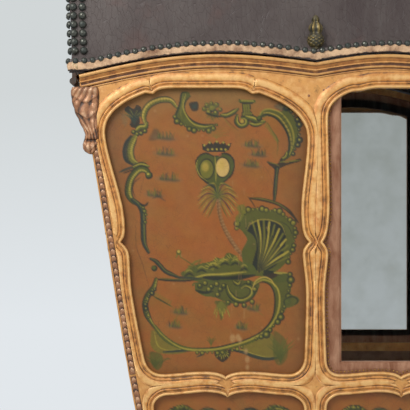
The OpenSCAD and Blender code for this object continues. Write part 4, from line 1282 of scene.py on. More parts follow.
class Canvas:
    """A painted surface: colours at the points (u, v) of a fine grid, in millimetres."""

    def __init__(self, u: Array, v: Array, seed: int = 5) -> None:
        """Args: u, v: flat arrays of places; seed: of the ground's mottling."""
        self.uv = np.stack([u, v], 1)
        self.rgb = np.zeros((len(u), 3))
        broad = smooth_noise(self.uv, 260, seed)[:, None]
        small = smooth_noise(self.uv, 60, seed + 1)[:, None]
        warm, dull, red = (np.array(srgb(*c)) for c in ((158, 101, 42), (140, 96, 50), (160, 92, 42)))
        self.rgb[:] = warm + (dull - warm) * np.clip(0.4 - 0.4 * broad, 0, 1)
        self.rgb += (red - self.rgb) * np.clip(0.3 + 0.5 * small, 0, 0.6)

    def lay(self, mask: Array, where: Array, tint: Tint | RGB, alpha: float = 1.0) -> None:
        """Mixes a colour in at some points by a mask."""
        colour = np.array(tint.value if isinstance(tint, Tint) else tint)
        m = np.clip(mask, 0, 1)[:, None] * alpha
        self.rgb[where] += (colour - self.rgb[where]) * m

    def near(self, line: Array, reach: float) -> Array:
        """Numbers of the points within a line's box, widened by a reach."""
        low, high = line.min(0) - reach, line.max(0) + reach
        return np.flatnonzero(np.all((self.uv >= low) & (self.uv <= high), axis=1))

    def stroke(self, points: Points | Array, width: float, tint: Tint | RGB, alpha: float = 1.0,
               soft: float = 1.6,
               taper: tuple[float, float] = (0.55, 0.35)) -> None:
        """A brush stroke whose width falls to a share of it at its two ends."""
        line = eased(points)
        where = self.near(line, width / 2 + soft)
        if not len(where):
            return
        gap = np.linalg.norm(self.uv[where][:, None] - line[None], axis=2)
        best = gap.argmin(1)
        s = best / max(1, len(line) - 1)
        full = np.minimum(1, np.minimum(taper[0] + s * 5 * (1 - taper[0]),
                                        taper[1] + (1 - s) * 4 * (1 - taper[1])))
        mask = (width / 2 * full - gap[np.arange(len(where)), best]) / soft + 0.5
        self.lay(mask, where, tint, alpha)

    def fill(self, points: Points | Array, tint: Tint | RGB, alpha: float = 1.0, soft: float = 2.0,
             smooth: bool = True) -> None:
        """Fills a closed shape: inside by crossing count, its edge softened by distance."""
        ring = np.asarray(points, float)
        if smooth:
            closed = np.vstack([ring, ring[:2]])
            ring = eased(closed, 2.4)[:-4]
        where = self.near(ring, soft)
        if not len(where):
            return
        p = self.uv[where]
        a, b = ring, np.roll(ring, -1, 0)
        cross = (a[None, :, 1] > p[:, None, 1]) != (b[None, :, 1] > p[:, None, 1])
        dy = np.where(np.abs(b[:, 1] - a[:, 1]) < 1e-9, 1e-9, b[:, 1] - a[:, 1])
        x = a[None, :, 0] + (p[:, None, 1] - a[None, :, 1]) / dy[None] * (b - a)[None, :, 0]
        inside = (cross & (p[:, None, 0] < x)).sum(1) % 2
        edge = np.linalg.norm(p[:, None] - ring[None], axis=2).min(1)
        self.lay(np.where(inside, 0.5 + edge / soft, 0.5 - edge / soft), where, tint, alpha)

    def scroll(self, points: Points | Array, width: float, body: Tint = Tint.GREEN, light: Tint = Tint.LIGHT,
               side: float = 1.0, ribs: float = 0.0, taper: tuple[float, float] = (0.5, 0.4)) -> None:
        """A modelled scroll: dark outline, body, a light line to one side and ribs across."""
        line = eased(points)
        left = -outward(line, closed=False)
        self.stroke(line, width + 4.5, Tint.DARK, 0.92, 1.8, taper)
        self.stroke(line, width, body, 0.95, 2.0, taper)
        self.stroke(line + left * side * width * 0.2, width * 0.34, light, 0.8, 1.8, taper)
        self.stroke(line - left * side * width * 0.42, max(1.6, width * 0.16), Tint.DARK, 0.7, 1.4, taper)
        if ribs:
            for k in range(3, len(line) - 3, max(2, int(ribs / 1.6))):
                a = line[k] - left[k] * width * 0.4
                b = line[k] + left[k] * width * 0.42
                self.stroke(np.array([a, b]), 1.5, Tint.DARK, 0.5, 1.2, (1, 1))

    def lobes(self, points: Points | Array, size: float, step: float, tint: Tint = Tint.GREEN,
              side: float = 1.0,
              rim: Tint = Tint.DARK) -> None:
        """A scalloped fringe: a row of round lobes beside a line, each dark-edged and lit."""
        line = spread(eased(points), step)
        left = -outward(line, closed=False) * side
        for k, (p, n) in enumerate(zip(line, left)):
            grow = size * (0.8 + 0.35 * math.sin(k * 1.7))
            q = p + n * grow * 0.35
            self.dot(q, grow * 0.62, rim, 0.9)
            self.dot(q - n * 0.6, grow * 0.42, tint, 0.95)
            self.dot(q + np.array([-0.6, 0.8]), grow * 0.2, Tint.LIGHT, 0.6)

    def dot(self, at: tuple[float, float] | Array, radius: float, tint: Tint | RGB, alpha: float = 1.0,
            squash: float = 1.0, soft: float = 1.6) -> None:
        """A round or flattened spot."""
        c = np.asarray(at, float)
        where = self.near(c[None], radius * max(1, squash) + soft)
        if len(where):
            d = self.uv[where] - c
            self.lay((radius - np.hypot(d[:, 0], d[:, 1] / squash)) / soft + 0.5, where, tint, alpha)

    def fan(self, root: tuple[float, float], start: float, end: float, length: float, count: int,
            width: float,
            tint: Tint, bend: float = 0.0, alpha: float = 0.9, tip: Tint | None = None) -> None:
        """Strokes that spread from a root between two angles in degrees, each bent sideways."""
        for k in range(count):
            a = math.radians(start + (end - start) * (k / max(1, count - 1)))
            reach = length * (0.86 + 0.14 * math.sin(k * 2.3))
            mid = (root[0] + reach * 0.55 * math.cos(a), root[1] + reach * 0.55 * math.sin(a))
            turn = a + bend * (1 if math.cos(a) < 0 else -1)
            far = (mid[0] + reach * 0.45 * math.cos(turn), mid[1] + reach * 0.45 * math.sin(turn))
            self.stroke((root, mid, far), width, tint, alpha, 1.4)
            if tip:
                self.stroke((mid, far), width * 0.55, tip, alpha * 0.8, 1.2)

    def tuft(self, at: tuple[float, float], spread_u: float, tint: Tint = Tint.GREEN, seed: int = 0) -> None:
        """Grass on a patch of ground: a soft dark smear with short blades above it."""
        rng = np.random.default_rng(seed + 40)
        u, v = at
        self.stroke(((u - spread_u, v + 1), (u, v - 1), (u + spread_u, v - 3)), 12, Tint.GREY, 0.45, 9)
        self.stroke(((u - spread_u * 0.7, v), (u, v - 2), (u + spread_u * 0.8, v - 4)), 7, Tint.BLUE, 0.6, 5)
        for _ in range(24):
            du = rng.uniform(-0.8, 0.8) * spread_u
            lean = rng.uniform(-6, 6)
            rise = rng.uniform(6, 20) * (1 - 0.4 * abs(du) / spread_u)
            base = (u + du, v - 2)
            self.stroke((base, (base[0] + lean * 0.4, v + rise * 0.6), (base[0] + lean, v + rise)), 2.0,
                        (tint, Tint.MOSS, Tint.BLUE)[rng.integers(3)], 0.62, 1.8)


@dataclass
class SidePicture:
    """The rocaille picture of the tall side panel, drawn from its middle (u) and foot (v)."""

    canvas: Canvas

    def paint(self) -> None:
        """Lays the picture from the ground up."""
        self.ground()
        self.tufts()
        self.left_scrolls()
        self.top_scrolls()
        self.right_scrolls()
        self.shield()
        self.palm()
        self.border()
        self.shell()
        self.island()
        self.great_scroll()
        self.wear()

    def ground(self) -> None:
        """Olive along the head, darker down the side edges as painted shade beside the mouldings, darker towards
        the foot, a redder middle.
        """
        c = self.canvas
        u, v = c.uv.T
        all_ = np.arange(len(u))
        head = np.clip((v - 560) / 90, 0, 1) ** 1.2
        c.lay(head, all_, srgb(132, 106, 60), 0.75)
        # Painted shade down the side edges, where the mouldings shade the panel.
        edge = np.clip((np.abs(u + 15 - (v - 330) * -0.05) - 150) / 60, 0, 1)
        c.lay(edge, all_, srgb(112, 82, 48), 0.55)
        c.lay(np.clip((60 - v) / 70, 0, 1), all_, srgb(120, 84, 46), 0.45)
        c.lay(np.exp(-((u - 20) ** 2 + (v - 330) ** 2) / 14000), all_, srgb(168, 92, 40), 0.45)

    def tufts(self) -> None:
        """Patches of grass that float on the ground."""
        c = self.canvas
        c.fill(((-150, 536), (-138, 560), (-126, 556), (-128, 538)), Tint.BLUE, 0.55, 6)
        for k, (u, v, w) in enumerate(((-112, 541, 24), (-112, 505, 25), (-104, 448, 28), (-136, 412, 20),
                                       (84, 524, 22), (98, 503, 20), (82, 479, 22), (86, 155, 16), (60,
                                                                                                    112, 14),
                                       (-79, 147, 18), (-90, 116, 16), (150, 300, 10))):
            c.tuft((u, v), w, Tint.GREEN, k)
        c.stroke(((-79, 147), (-92, 128), (-105, 109)), 2, Tint.MOSS, 0.6)
        c.stroke(((86, 155), (100, 146), (112, 137)), 2, Tint.MOSS, 0.6)
        c.stroke(((-140, 404), (-128, 408), (-112, 398)), 4, Tint.BLUE, 0.6, 3)

    def left_scrolls(self) -> None:
        """Plume, beaded arch and the C-scrolls down the left side."""
        c = self.canvas
        c.stroke(((-207, 593), (-204, 581), (-203, 569)), 11, Tint.GREY, 0.5, 7)
        c.fill(((-190, 566), (-192, 590), (-205, 604), (-196, 613), (-184, 606), (-176, 616), (-166, 606),
                (-170, 588),
                (-172, 566)), Tint.DARK, 0.95)
        c.fan((-182, 572), 125, 60, 38, 8, 3.4, Tint.BLUE, 0.4, 0.9, Tint.MOSS)
        c.scroll(((-157, 572), (-161, 590), (-156, 606), (-143, 619), (-121, 627), (-100, 625), (-87,
                                                                                                 610)), 11,
                 Tint.MOSS, Tint.STRAW, ribs=6.5)
        c.scroll(((-178, 556), (-170, 564), (-158, 566), (-153, 574)), 11, Tint.GREEN)
        for at in ((-184, 554), (-176, 549), (-167, 551), (-158, 556)):
            c.dot(at, 5.6, Tint.DARK)
            c.dot((at[0] - 0.6, at[1] + 0.8), 3.6, Tint.GREEN)
            c.dot((at[0] - 0.8, at[1] + 1.4), 1.6, Tint.LIGHT, 0.8)
        c.stroke(((-190, 545), (-201, 528), (-205, 508), (-200, 490), (-184, 478)), 9, Tint.BLUE, 0.95)
        c.scroll(((-180, 545), (-189, 526), (-192, 508), (-188, 492), (-176, 482)), 14, Tint.MOSS,
                 Tint.LIGHT, ribs=5)
        c.stroke(((-190, 545), (-202, 528), (-206, 508), (-201, 490), (-186, 478)), 4.5, Tint.DARK, 0.95)
        c.stroke(((-176, 481), (-162, 487), (-150, 490)), 3, Tint.MOSS, 0.6)
        c.stroke(((-184, 475), (-200, 470), (-216, 463)), 6, Tint.BLUE, 0.9)
        c.stroke(((-182, 470), (-198, 464), (-208, 460)), 4, Tint.DARK, 0.8)
        c.scroll(((-184, 474), (-168, 480), (-150, 476)), 8, Tint.GREEN, Tint.LIGHT)
        c.scroll(((-152, 452), (-154, 466), (-170, 470), (-186, 455), (-194, 436), (-195, 415), (-186,
            398), (-172, 391)),
                 13, Tint.GREEN, Tint.LIGHT, ribs=6)
        c.dot((-149, 456), 8.5, Tint.DARK)
        c.dot((-150, 457.5), 6, Tint.GREEN)
        c.dot((-151, 459), 2.6, Tint.LIGHT)
        c.stroke(((-168, 452), (-182, 440), (-186, 424), (-180, 406)), 2.6, Tint.DARK, 0.85)
        c.scroll(((-186, 401), (-170, 387), (-163, 370), (-162, 340), (-160, 304), (-150, 282)), 9,
                 Tint.BLUE, Tint.MOSS,
                 taper=(0.7, 0.5))
        c.lobes(((-160, 384), (-154, 368), (-155, 350)), 8, 8, Tint.GREEN, -1)
        c.stroke(((-170, 391), (-158, 388), (-150, 396)), 5, Tint.DARK, 0.9)
        c.stroke(((-179, 349), (-178, 297), (-164, 256), (-149, 204)), 1.8, Tint.BROWN, 0.8)
        c.stroke(((-160, 452), (-166, 430), (-170, 405)), 1.5, Tint.BROWN, 0.6)

    def top_scrolls(self) -> None:
        """The big C under the head with its scalloped belly, and the spray of flowers."""
        c = self.canvas
        c.fill(((-92, 592), (-86, 606), (-80, 622), (-76, 642), (-62, 645), (-55, 636), (-62, 628), (-68,
                                                                                                     610),
                (-66, 598), (-58, 586), (-46, 577), (-26, 571), (-2, 571), (6, 576), (-2, 566), (-12, 561),
                    (-34, 559),
                (-50, 558), (-60, 560), (-70, 568), (-80, 578), (-90, 582)), Tint.GREEN, 0.95)
        c.stroke(((-92, 585), (-84, 604), (-79, 622), (-75, 642), (-64, 645)), 4, Tint.DARK, 0.9)
        c.stroke(((-56, 634), (-68, 620), (-69, 604), (-60, 588), (-46, 577), (-26, 571), (4, 573)), 3.4,
                 Tint.DARK, 0.95)
        c.stroke(((-72, 640), (-74, 616), (-78, 598), (-74, 584)), 3.4, Tint.MOSS, 0.8)
        c.stroke(((-66, 640), (-72, 612), (-64, 590), (-48, 572), (-24, 566), (-4, 568)), 2.8, Tint.LIGHT,
                 0.75)
        c.lobes(((-88, 590), (-80, 578), (-68, 571), (-56, 564), (-36, 560), (-12, 562), (3, 571)), 11, 11,
                Tint.GREEN, -1)
        c.fill(((-58, 620), (-40, 622), (-38, 604), (-52, 602)), Tint.DARK, 0.92, 3)
        c.fill(((-52, 615), (-42, 617), (-42, 608), (-50, 607)), Tint.BLUE, 0.9, 3)
        for k, (u, v, r) in enumerate(((-6, 608, 9), (-18, 614, 6), (4, 615, 6), (-14, 599, 7), (2, 597,
            7), (-24, 606, 6),
                                       (12, 604, 5), (-8, 618, 5))):
            c.dot((u, v), r, Tint.DARK if k % 2 else Tint.BLUE, 0.85)
            c.dot((u - 1, v + 1), r * 0.62, Tint.GREEN if k % 3 else Tint.MOSS, 0.9)
            c.dot((u - 1.5, v + 2), r * 0.26, Tint.LIGHT, 0.8)
        c.fan((-6, 605), 20, 200, 26, 11, 2.2, Tint.MOSS, 0.3, 0.75)
        c.fan((-4, 596), 190, 340, 20, 8, 2.6, Tint.GREEN, 0.2, 0.85)
        c.stroke(((-20, 597), (0, 590), (18, 589)), 5, Tint.DARK, 0.85)
        c.stroke(((18, 590), (34, 574), (54, 555)), 2.4, Tint.UMBER, 0.85)
        c.stroke(((20, 586), (36, 566), (50, 560)), 1.8, Tint.MOSS, 0.8)
        c.scroll(((14, 592), (28, 592), (42, 599), (52, 606)), 8, Tint.GREEN)

    def right_scrolls(self) -> None:
        """Capital, the great right scroll with its feathered back, and the column under it."""
        c = self.canvas
        c.fill(((54, 628), (90, 627), (88, 619), (82, 617), (80, 602), (88, 592), (58, 588), (62, 604),
                (62, 617),
                (56, 620)), Tint.DARK, 0.92, 2, False)
        c.stroke(((56, 624), (89, 623)), 6.5, Tint.GREEN, 0.95, 2, (1, 1))
        c.stroke(((60, 625), (86, 624.5)), 2.2, Tint.LIGHT, 0.8, 1.4, (1, 1))
        c.fill(((63, 616), (80, 616), (79, 602), (86, 592), (62, 590), (64, 603)), Tint.MOSS, 0.95, 2, False)
        for u in (66, 70, 74, 78):
            c.stroke(((u, 616), (u - 0.5, 603), (u + (u - 71) * 0.3, 592)), 1.5, Tint.DARK, 0.55, 1.2, (1, 1))
        c.scroll(((50, 592), (49, 577), (58, 568), (70, 572), (70, 584), (60, 586)), 8, Tint.GREEN)
        c.dot((61, 578), 4, Tint.LIGHT, 0.7)
        c.scroll(((70, 588), (86, 584), (98, 578), (112, 577)), 11, Tint.GREEN, Tint.LIGHT)
        c.scroll(((78, 574), (92, 570), (108, 574)), 6, Tint.MOSS)
        c.fill(((98, 586), (106, 602), (122, 607), (146, 600), (160, 604), (176, 592), (186, 572), (190,
            548), (184, 524),
                (172, 500), (160, 492), (164, 512), (166, 532), (162, 552), (150, 572), (134, 586), (118,
                                                                                                     590),
                (108, 586)), Tint.GREEN, 0.95)
        c.stroke(((98, 584), (106, 600), (122, 606), (144, 600), (158, 588), (172, 566), (178, 540), (172,
                                                                                                      512),
                  (162, 494)), 3, Tint.LIGHT, 0.6, 2)
        c.stroke(((101, 584), (110, 592), (122, 592), (138, 585), (153, 569), (164, 549), (168, 529), (166,
                                                                                                       508),
                  (158, 490)), 4.6, Tint.DARK, 0.95)
        c.stroke(((110, 597), (124, 597), (144, 588), (160, 568), (170, 546), (172, 520)), 2.6, Tint.STRAW,
                 0.6, 2)
        c.lobes(((150, 606), (164, 603), (176, 592), (185, 574), (188, 552), (185, 530), (174, 506)), 12,
                11, Tint.BLUE, 1)
        for k in range(9):
            t = k / 8
            a = np.array([170 - 22 * (1 - t) + 4 * t, 588 - 74 * t])
            c.stroke(np.array([a, a + (10, 7 - 9 * t)]), 2.2, Tint.DARK, 0.7, 1.4)
        c.fill(((134, 612), (146, 620), (160, 618), (168, 606), (150, 602)), Tint.BLUE, 0.6, 5)
        c.fan((150, 604), 150, 60, 20, 6, 2.4, Tint.GREY, 0.3, 0.6)
        c.dot((100, 584), 6.5, Tint.DARK)
        c.dot((99, 586), 4.4, Tint.GREEN)
        for k in range(8):
            t = k / 7
            p = (118 + 22 * t, 575 - 36 * t)
            c.stroke((p, (p[0] - 3 + 4 * t, p[1] - 11)), 3.2, Tint.MOSS, 0.8)
            c.stroke((p, (p[0] + 6, p[1] - 8)), 2.2, Tint.GREEN, 0.75)
        c.stroke(((130, 556), (141, 538), (141, 501)), 2.2, Tint.GREEN, 0.8)
        c.scroll(((150, 492), (160, 498), (164, 510)), 6, Tint.GREEN)
        c.fill(((118, 488), (140, 482), (150, 496), (160, 484), (190, 494), (192, 488), (160, 478), (146,
            470), (141, 452),
                (134, 470), (122, 480)), Tint.DARK, 0.9)
        c.stroke(((146, 486), (168, 488), (192, 490)), 3.4, Tint.MOSS, 0.8)
        c.stroke(((120, 486), (136, 482), (146, 476)), 2.4, Tint.MOSS, 0.7)
        c.scroll(((140, 472), (137, 440), (134, 400)), 5.5, Tint.BLUE, Tint.MOSS, taper=(1, 0.6))
        c.stroke(((100, 492), (122, 460), (134, 424)), 1.4, Tint.UMBER, 0.7)
        c.stroke(((80, 404), (108, 401), (140, 392), (166, 376), (188, 350)), 8, Tint.DARK, 0.9)
        c.stroke(((84, 405), (110, 402), (142, 392), (166, 376)), 3, Tint.MOSS, 0.7)
        c.stroke(((74, 408), (86, 392), (92, 380)), 2.6, Tint.DARK, 0.85)

    def shield(self) -> None:
        """Plain twin ovals in a green frame under a plain open crown, with rays."""
        c = self.canvas
        c.fan((4, 540), 20, 160, 34, 11, 1.7, Tint.MOSS, 0.3, 0.55)
        c.fill(((-45, 486), (-38, 500), (-20, 508), (0, 500), (20, 508), (38, 500), (45, 482), (40, 458),
                (24, 442),
                (6, 428), (-2, 426), (-20, 438), (-38, 456)), Tint.DARK, 0.95)
        c.fill(((-42, 484), (-36, 497), (-20, 504), (0, 497), (20, 504), (36, 497), (42, 480), (37, 460),
                (22, 445),
                (4, 432), (-18, 442), (-35, 458)), Tint.GREEN, 0.9)
        for u, v, ru, tint in ((-19, 470, 15, Tint.MOSS), (17, 474, 15, Tint.CREAM)):
            c.dot((u, v), ru + 2.2, Tint.DARK, 1, 1.4)
            c.dot((u, v), ru, tint, 1, 1.4)
            c.dot((u - 3, v + 5), ru * 0.5, Tint.STRAW, 0.5, 1.4, 5)
        c.stroke(((-40, 490), (-42, 474), (-34, 456), (-18, 443)), 2.4, Tint.LIGHT, 0.7)
        c.stroke(((0, 498), (2, 470), (2, 440)), 3, Tint.LIGHT, 0.6)
        c.fill(((-28, 514), (-30, 528), (-20, 524), (-12, 534), (-4, 526), (4, 536), (12, 526), (20, 534),
                (26, 524),
                (38, 530), (32, 514), (20, 508), (-16, 508)), Tint.DARK, 0.95, 1.6, False)
        for u, v in ((-24, 524), (-12, 530), (4, 532), (19, 530), (31, 525), (-16, 514), (-6, 515), (4,
            515), (14, 515),
                     (24, 514)):
            c.dot((u, v), 2.4, Tint.LIGHT, 0.85)
        c.dot((10, 504), 5, Tint.ROSE, 0.5)

    def palm(self) -> None:
        """Palm fronds under the shield, and the slanting trunk."""
        c = self.canvas
        c.scroll(((6, 432), (4, 420), (6, 404)), 7, Tint.BLUE, Tint.MOSS)
        for side in (-1, 1):
            for k in range(13):
                a = math.radians(88 - 13 * k)
                reach, drop = 47 - 0.9 * k, 10 + 1.2 * k
                mid = (6 + side * reach * 0.6 * math.cos(a), 410 + reach * 0.62 * math.sin(a))
                tip = (6 + side * reach * (0.35 + 0.75 * math.cos(a)), 410 + reach * 0.8 * math.sin(a) - drop)
                c.stroke(((6, 410), mid, tip), 3.0, (Tint.GREEN, Tint.MOSS, Tint.BLUE, Tint.MOSS)[k % 4],
                         0.88, 1.5)
                if k % 2:
                    c.stroke((mid, tip), 1.6, Tint.STRAW, 0.6, 1.3)
        c.stroke(((8, 400), (10, 372), (20, 340), (40, 304), (64, 272)), 9, Tint.GREY, 0.55, 3, (1, 1))
        c.stroke(((6, 398), (8, 370), (17, 338), (38, 300), (62, 272)), 3, Tint.BROWN, 0.7, 2, (1, 1))
        line = spread(eased(((8, 398), (10, 372), (20, 340), (40, 304), (64, 272))), 8)
        for p in line:
            c.stroke(np.array([p + (-4.5, -1), p + (4.5, 2)]), 1.6, Tint.PALE, 0.5, 1.2)

    def shell(self) -> None:
        """The great shell with yellow-green ridges on blue-black hollows, and its frill."""
        c = self.canvas
        c.fill(((50, 343), (56, 362), (70, 378), (92, 382), (114, 376), (136, 379), (158, 366), (178, 346),
                (182, 322),
                (176, 296), (166, 268), (140, 240), (96, 228), (70, 244), (60, 280), (72, 310), (64, 326)),
                    Tint.GREEN, 0.95)
        c.fill(((70, 338), (84, 352), (106, 358), (132, 355), (152, 344), (160, 322), (158, 296), (148,
            266), (128, 246),
                (100, 240), (84, 250), (90, 276), (94, 298), (88, 318), (74, 330)), Tint.DARK, 0.97)
        base = (98, 236)
        for k in range(11):
            t = k / 10
            a = math.radians(98 - 74 * t)
            reach = 118 - 34 * t + 12 * math.sin(t * 3.1)
            lean = -0.16 + 0.3 * t
            mid = (base[0] + reach * 0.5 * math.cos(a + lean),
                   base[1] + reach * 0.55 * math.sin(a + lean * 0.4))
            tip = (base[0] + reach * math.cos(a) * 0.86, base[1] + reach * math.sin(a))
            c.stroke((base, mid, tip), 5.2, Tint.LIGHT if k % 2 else Tint.MOSS, 0.85, 1.8, (0.3, 0.8))
        for k in range(8):
            t = k / 7
            a = math.radians(94 - 66 * t)
            reach = 104 - 30 * t
            mid = (base[0] + reach * 0.5 * math.cos(a - 0.1 + 0.28 * t), base[1] + reach * 0.55 * math.sin(a))
            tip = (base[0] + reach * math.cos(a) * 0.84, base[1] + reach * math.sin(a))
            c.stroke((base, mid, tip), 3.6, Tint.DARK, 0.8, 1.8, (0.3, 0.9))
        c.stroke(((72, 333), (80, 346), (104, 356), (132, 353), (151, 342), (159, 322)), 3, Tint.LIGHT,
                 0.6, 2)
        c.lobes(((52, 336), (58, 360), (74, 374), (96, 378), (118, 374), (138, 374), (158, 362), (174,
                                                                                                  346)),
                                                                                                      11, 10,
                Tint.MOSS, 1)
        c.lobes(((178, 336), (178, 312), (172, 288), (162, 262)), 10, 10, Tint.GREEN, 1)
        c.fill(((50, 345), (46, 360), (54, 372), (50, 384), (62, 390), (70, 380), (62, 360)), Tint.MOSS,
               0.8, 2)
        c.stroke(((56, 388), (58, 372), (52, 352)), 2, Tint.DARK, 0.8)
        c.fan((60, 372), 60, 150, 26, 6, 2.2, Tint.MOSS, 0.3, 0.7)
        c.stroke(((148, 352), (166, 340), (176, 318)), 1.8, Tint.DARK, 0.8)

    def island(self) -> None:
        """Foliage tops, a long dark band and the rocaille under it."""
        c = self.canvas
        c.fill(((-78, 232), (-60, 246), (-34, 256), (-8, 262), (4, 270), (18, 268), (28, 281), (44, 276),
                (58, 262),
                (84, 254), (92, 236), (60, 222), (10, 216), (-40, 216)), Tint.GREEN, 0.95)
        c.stroke(((-69, 236), (-48, 258), (-30, 266)), 5, Tint.MOSS, 0.85)
        c.fan((10, 250), 60, 150, 26, 7, 3.4, Tint.MOSS, 0.4, 0.85, Tint.LIGHT)
        c.fan((38, 256), 50, 140, 26, 7, 3.4, Tint.GREEN, 0.4, 0.85, Tint.LIGHT)
        c.fan((-40, 236), 70, 165, 30, 7, 3.2, Tint.GREEN, 0.4, 0.85, Tint.MOSS)
        c.fan((-5, 242), 60, 160, 24, 6, 3.2, Tint.MOSS, 0.4, 0.85, Tint.LIGHT)
        for u, v, w in ((-58, 238, 16), (-30, 246, 18), (-4, 254, 18), (22, 262, 18), (46, 262, 16), (66,
                                                                                                      250,
                                                                                                          14)):
            c.stroke(((u - w * 0.6, v - 9), (u, v - 4), (u + w * 0.6, v - 9)), 4.5, Tint.DARK, 0.85, 2)
            c.stroke(((u - w * 0.5, v), (u, v + 4), (u + w * 0.5, v)), 2.6, Tint.LIGHT, 0.6, 2)
        c.stroke(((-25, 226), (20, 222), (60, 226), (90, 230)), 11, Tint.DARK, 0.95, 2)
        c.stroke(((-50, 224), (-20, 231), (20, 233), (70, 238)), 4.5, Tint.LIGHT, 0.75, 2)
        c.stroke(((-90, 226), (-60, 224), (-30, 222)), 6, Tint.BLUE, 0.9)
        c.stroke(((-128, 221), (-90, 219), (-48, 219)), 7, Tint.DARK, 0.92)
        c.stroke(((-126, 223), (-90, 221), (-50, 221)), 2.4, Tint.MOSS, 0.7)
        c.scroll(((-146, 268), (-134, 262), (-124, 252), (-110, 238), (-82, 226)), 6, Tint.BLUE, Tint.MOSS)
        c.dot((-137, 246), 7, Tint.DARK)
        c.dot((-138, 247.5), 4.6, Tint.GREEN)
        c.fill(((-46, 214), (-44, 196), (-26, 184), (0, 180), (20, 172), (50, 166), (80, 176), (96, 194),
                (96, 214),
                (40, 220)), Tint.GREEN, 0.95)
        c.stroke(((-43, 196), (-24, 191), (-4, 194)), 6, Tint.DARK, 0.9)
        c.scroll(((26, 206), (32, 190), (46, 176), (64, 173), (82, 184), (84, 200), (70, 208), (58, 202)),
                 9, Tint.GREEN,
                 Tint.LIGHT)
        c.scroll(((42, 216), (52, 210), (58, 216)), 5, Tint.MOSS)
        for k, (u, v) in enumerate(((-34, 206), (-22, 212), (-8, 204), (4, 210), (12, 198), (-14, 198),
                                    (20, 206),
                                    (90, 198), (76, 214), (6, 186), (30, 168), (48, 164), (66, 162), (84,
                                                                                                      170))):
            c.dot((u, v), 6.4, Tint.DARK, 0.85)
            c.dot((u - 0.6, v + 1), 4.2, (Tint.GREEN, Tint.MOSS)[k % 2], 0.95)
            c.dot((u - 1, v + 2), 1.7, Tint.LIGHT, 0.75)
        c.fill(((0, 172), (8, 150), (14, 128), (22, 150), (30, 168)), Tint.GREEN, 0.85, 3)
        c.fan((14, 172), 235, 305, 42, 7, 3, Tint.MOSS, 0.25, 0.85, Tint.LIGHT)
        c.stroke(((-88, 270), (-82, 281), (-76, 270)), 4.5, Tint.MOSS, 0.85)
        c.dot((-82, 282), 6, Tint.GREEN, 0.85)
        c.dot((-82, 284), 3.2, Tint.STRAW, 0.8)
        c.stroke(((-80, 272), (-66, 264), (-48, 252)), 2.6, Tint.GREEN, 0.85)
        c.fill(((108, 232), (112, 242), (130, 240), (166, 234), (170, 222), (150, 214), (118, 220)),
               Tint.DARK, 0.92)
        c.stroke(((134, 236), (168, 234)), 4.5, Tint.LIGHT, 0.8)

    def great_scroll(self) -> None:
        """The large C that runs down the right and along the foot to the left."""
        c = self.canvas
        c.fill(((88, 207), (106, 216), (124, 208), (134, 192), (136, 168), (130, 134), (108, 106), (82,
            90), (54, 80),
                (0, 68), (-52, 67), (-84, 76), (-112, 94), (-134, 118), (-142, 116), (-118, 84), (-86, 66),
                    (-50, 58),
                (-4, 58), (54, 68), (92, 82), (122, 102), (142, 126), (158, 150), (168, 176), (172, 206),
                    (166, 232),
                (146, 232), (128, 222), (108, 228), (92, 220)), Tint.GREEN, 0.95)
        c.stroke(((86, 202), (98, 212), (112, 214), (126, 206), (134, 188), (135, 160), (128, 130), (106,
            104), (80, 89),
                  (52, 79), (0, 67), (-52, 66)), 3.6, Tint.DARK, 0.95)
        c.stroke(((90, 210), (108, 220), (128, 214), (142, 198), (146, 170), (138, 136), (116, 106), (86,
            88), (52, 75),
                  (0, 63), (-54, 62), (-88, 72), (-120, 96), (-138, 118)), 4.2, Tint.LIGHT, 0.75, 2)
        c.stroke(((84, 198), (92, 217), (110, 226), (126, 220), (136, 204)), 3.2, Tint.STRAW, 0.7)
        c.lobes(((166, 232), (166, 206), (160, 176), (150, 150), (136, 124), (116, 103), (92, 88)), 13, 12,
                Tint.GREEN, 1)
        c.lobes(((60, 70), (30, 60), (-4, 57), (-40, 58)), 8, 11, Tint.MOSS, 1)
        c.fill(((160, 180), (172, 186), (188, 180), (190, 170), (176, 160), (160, 158)), Tint.GREEN, 0.9)
        c.stroke(((158, 176), (174, 182), (187, 174), (180, 162)), 3, Tint.DARK, 0.85)
        c.scroll(((-133, 222), (-139, 202), (-152, 184), (-158, 163), (-152, 138), (-138, 114)), 10,
                 Tint.GREEN,
                 Tint.LIGHT, ribs=7)
        c.lobes(((-138, 200), (-154, 180), (-160, 160), (-152, 134)), 9, 10, Tint.BLUE, 1)
        for k in range(8):
            t = k / 7
            p = (-138 + 34 * t, 182 - 18 * t)
            c.stroke((p, (p[0] + 6, p[1] + 9)), 2.6, Tint.MOSS, 0.8)
            c.stroke((p, (p[0] + 8, p[1] - 6)), 2.6, Tint.GREEN, 0.8)
        c.stroke(((-140, 184), (-122, 174), (-102, 162)), 2.4, Tint.DARK, 0.8)

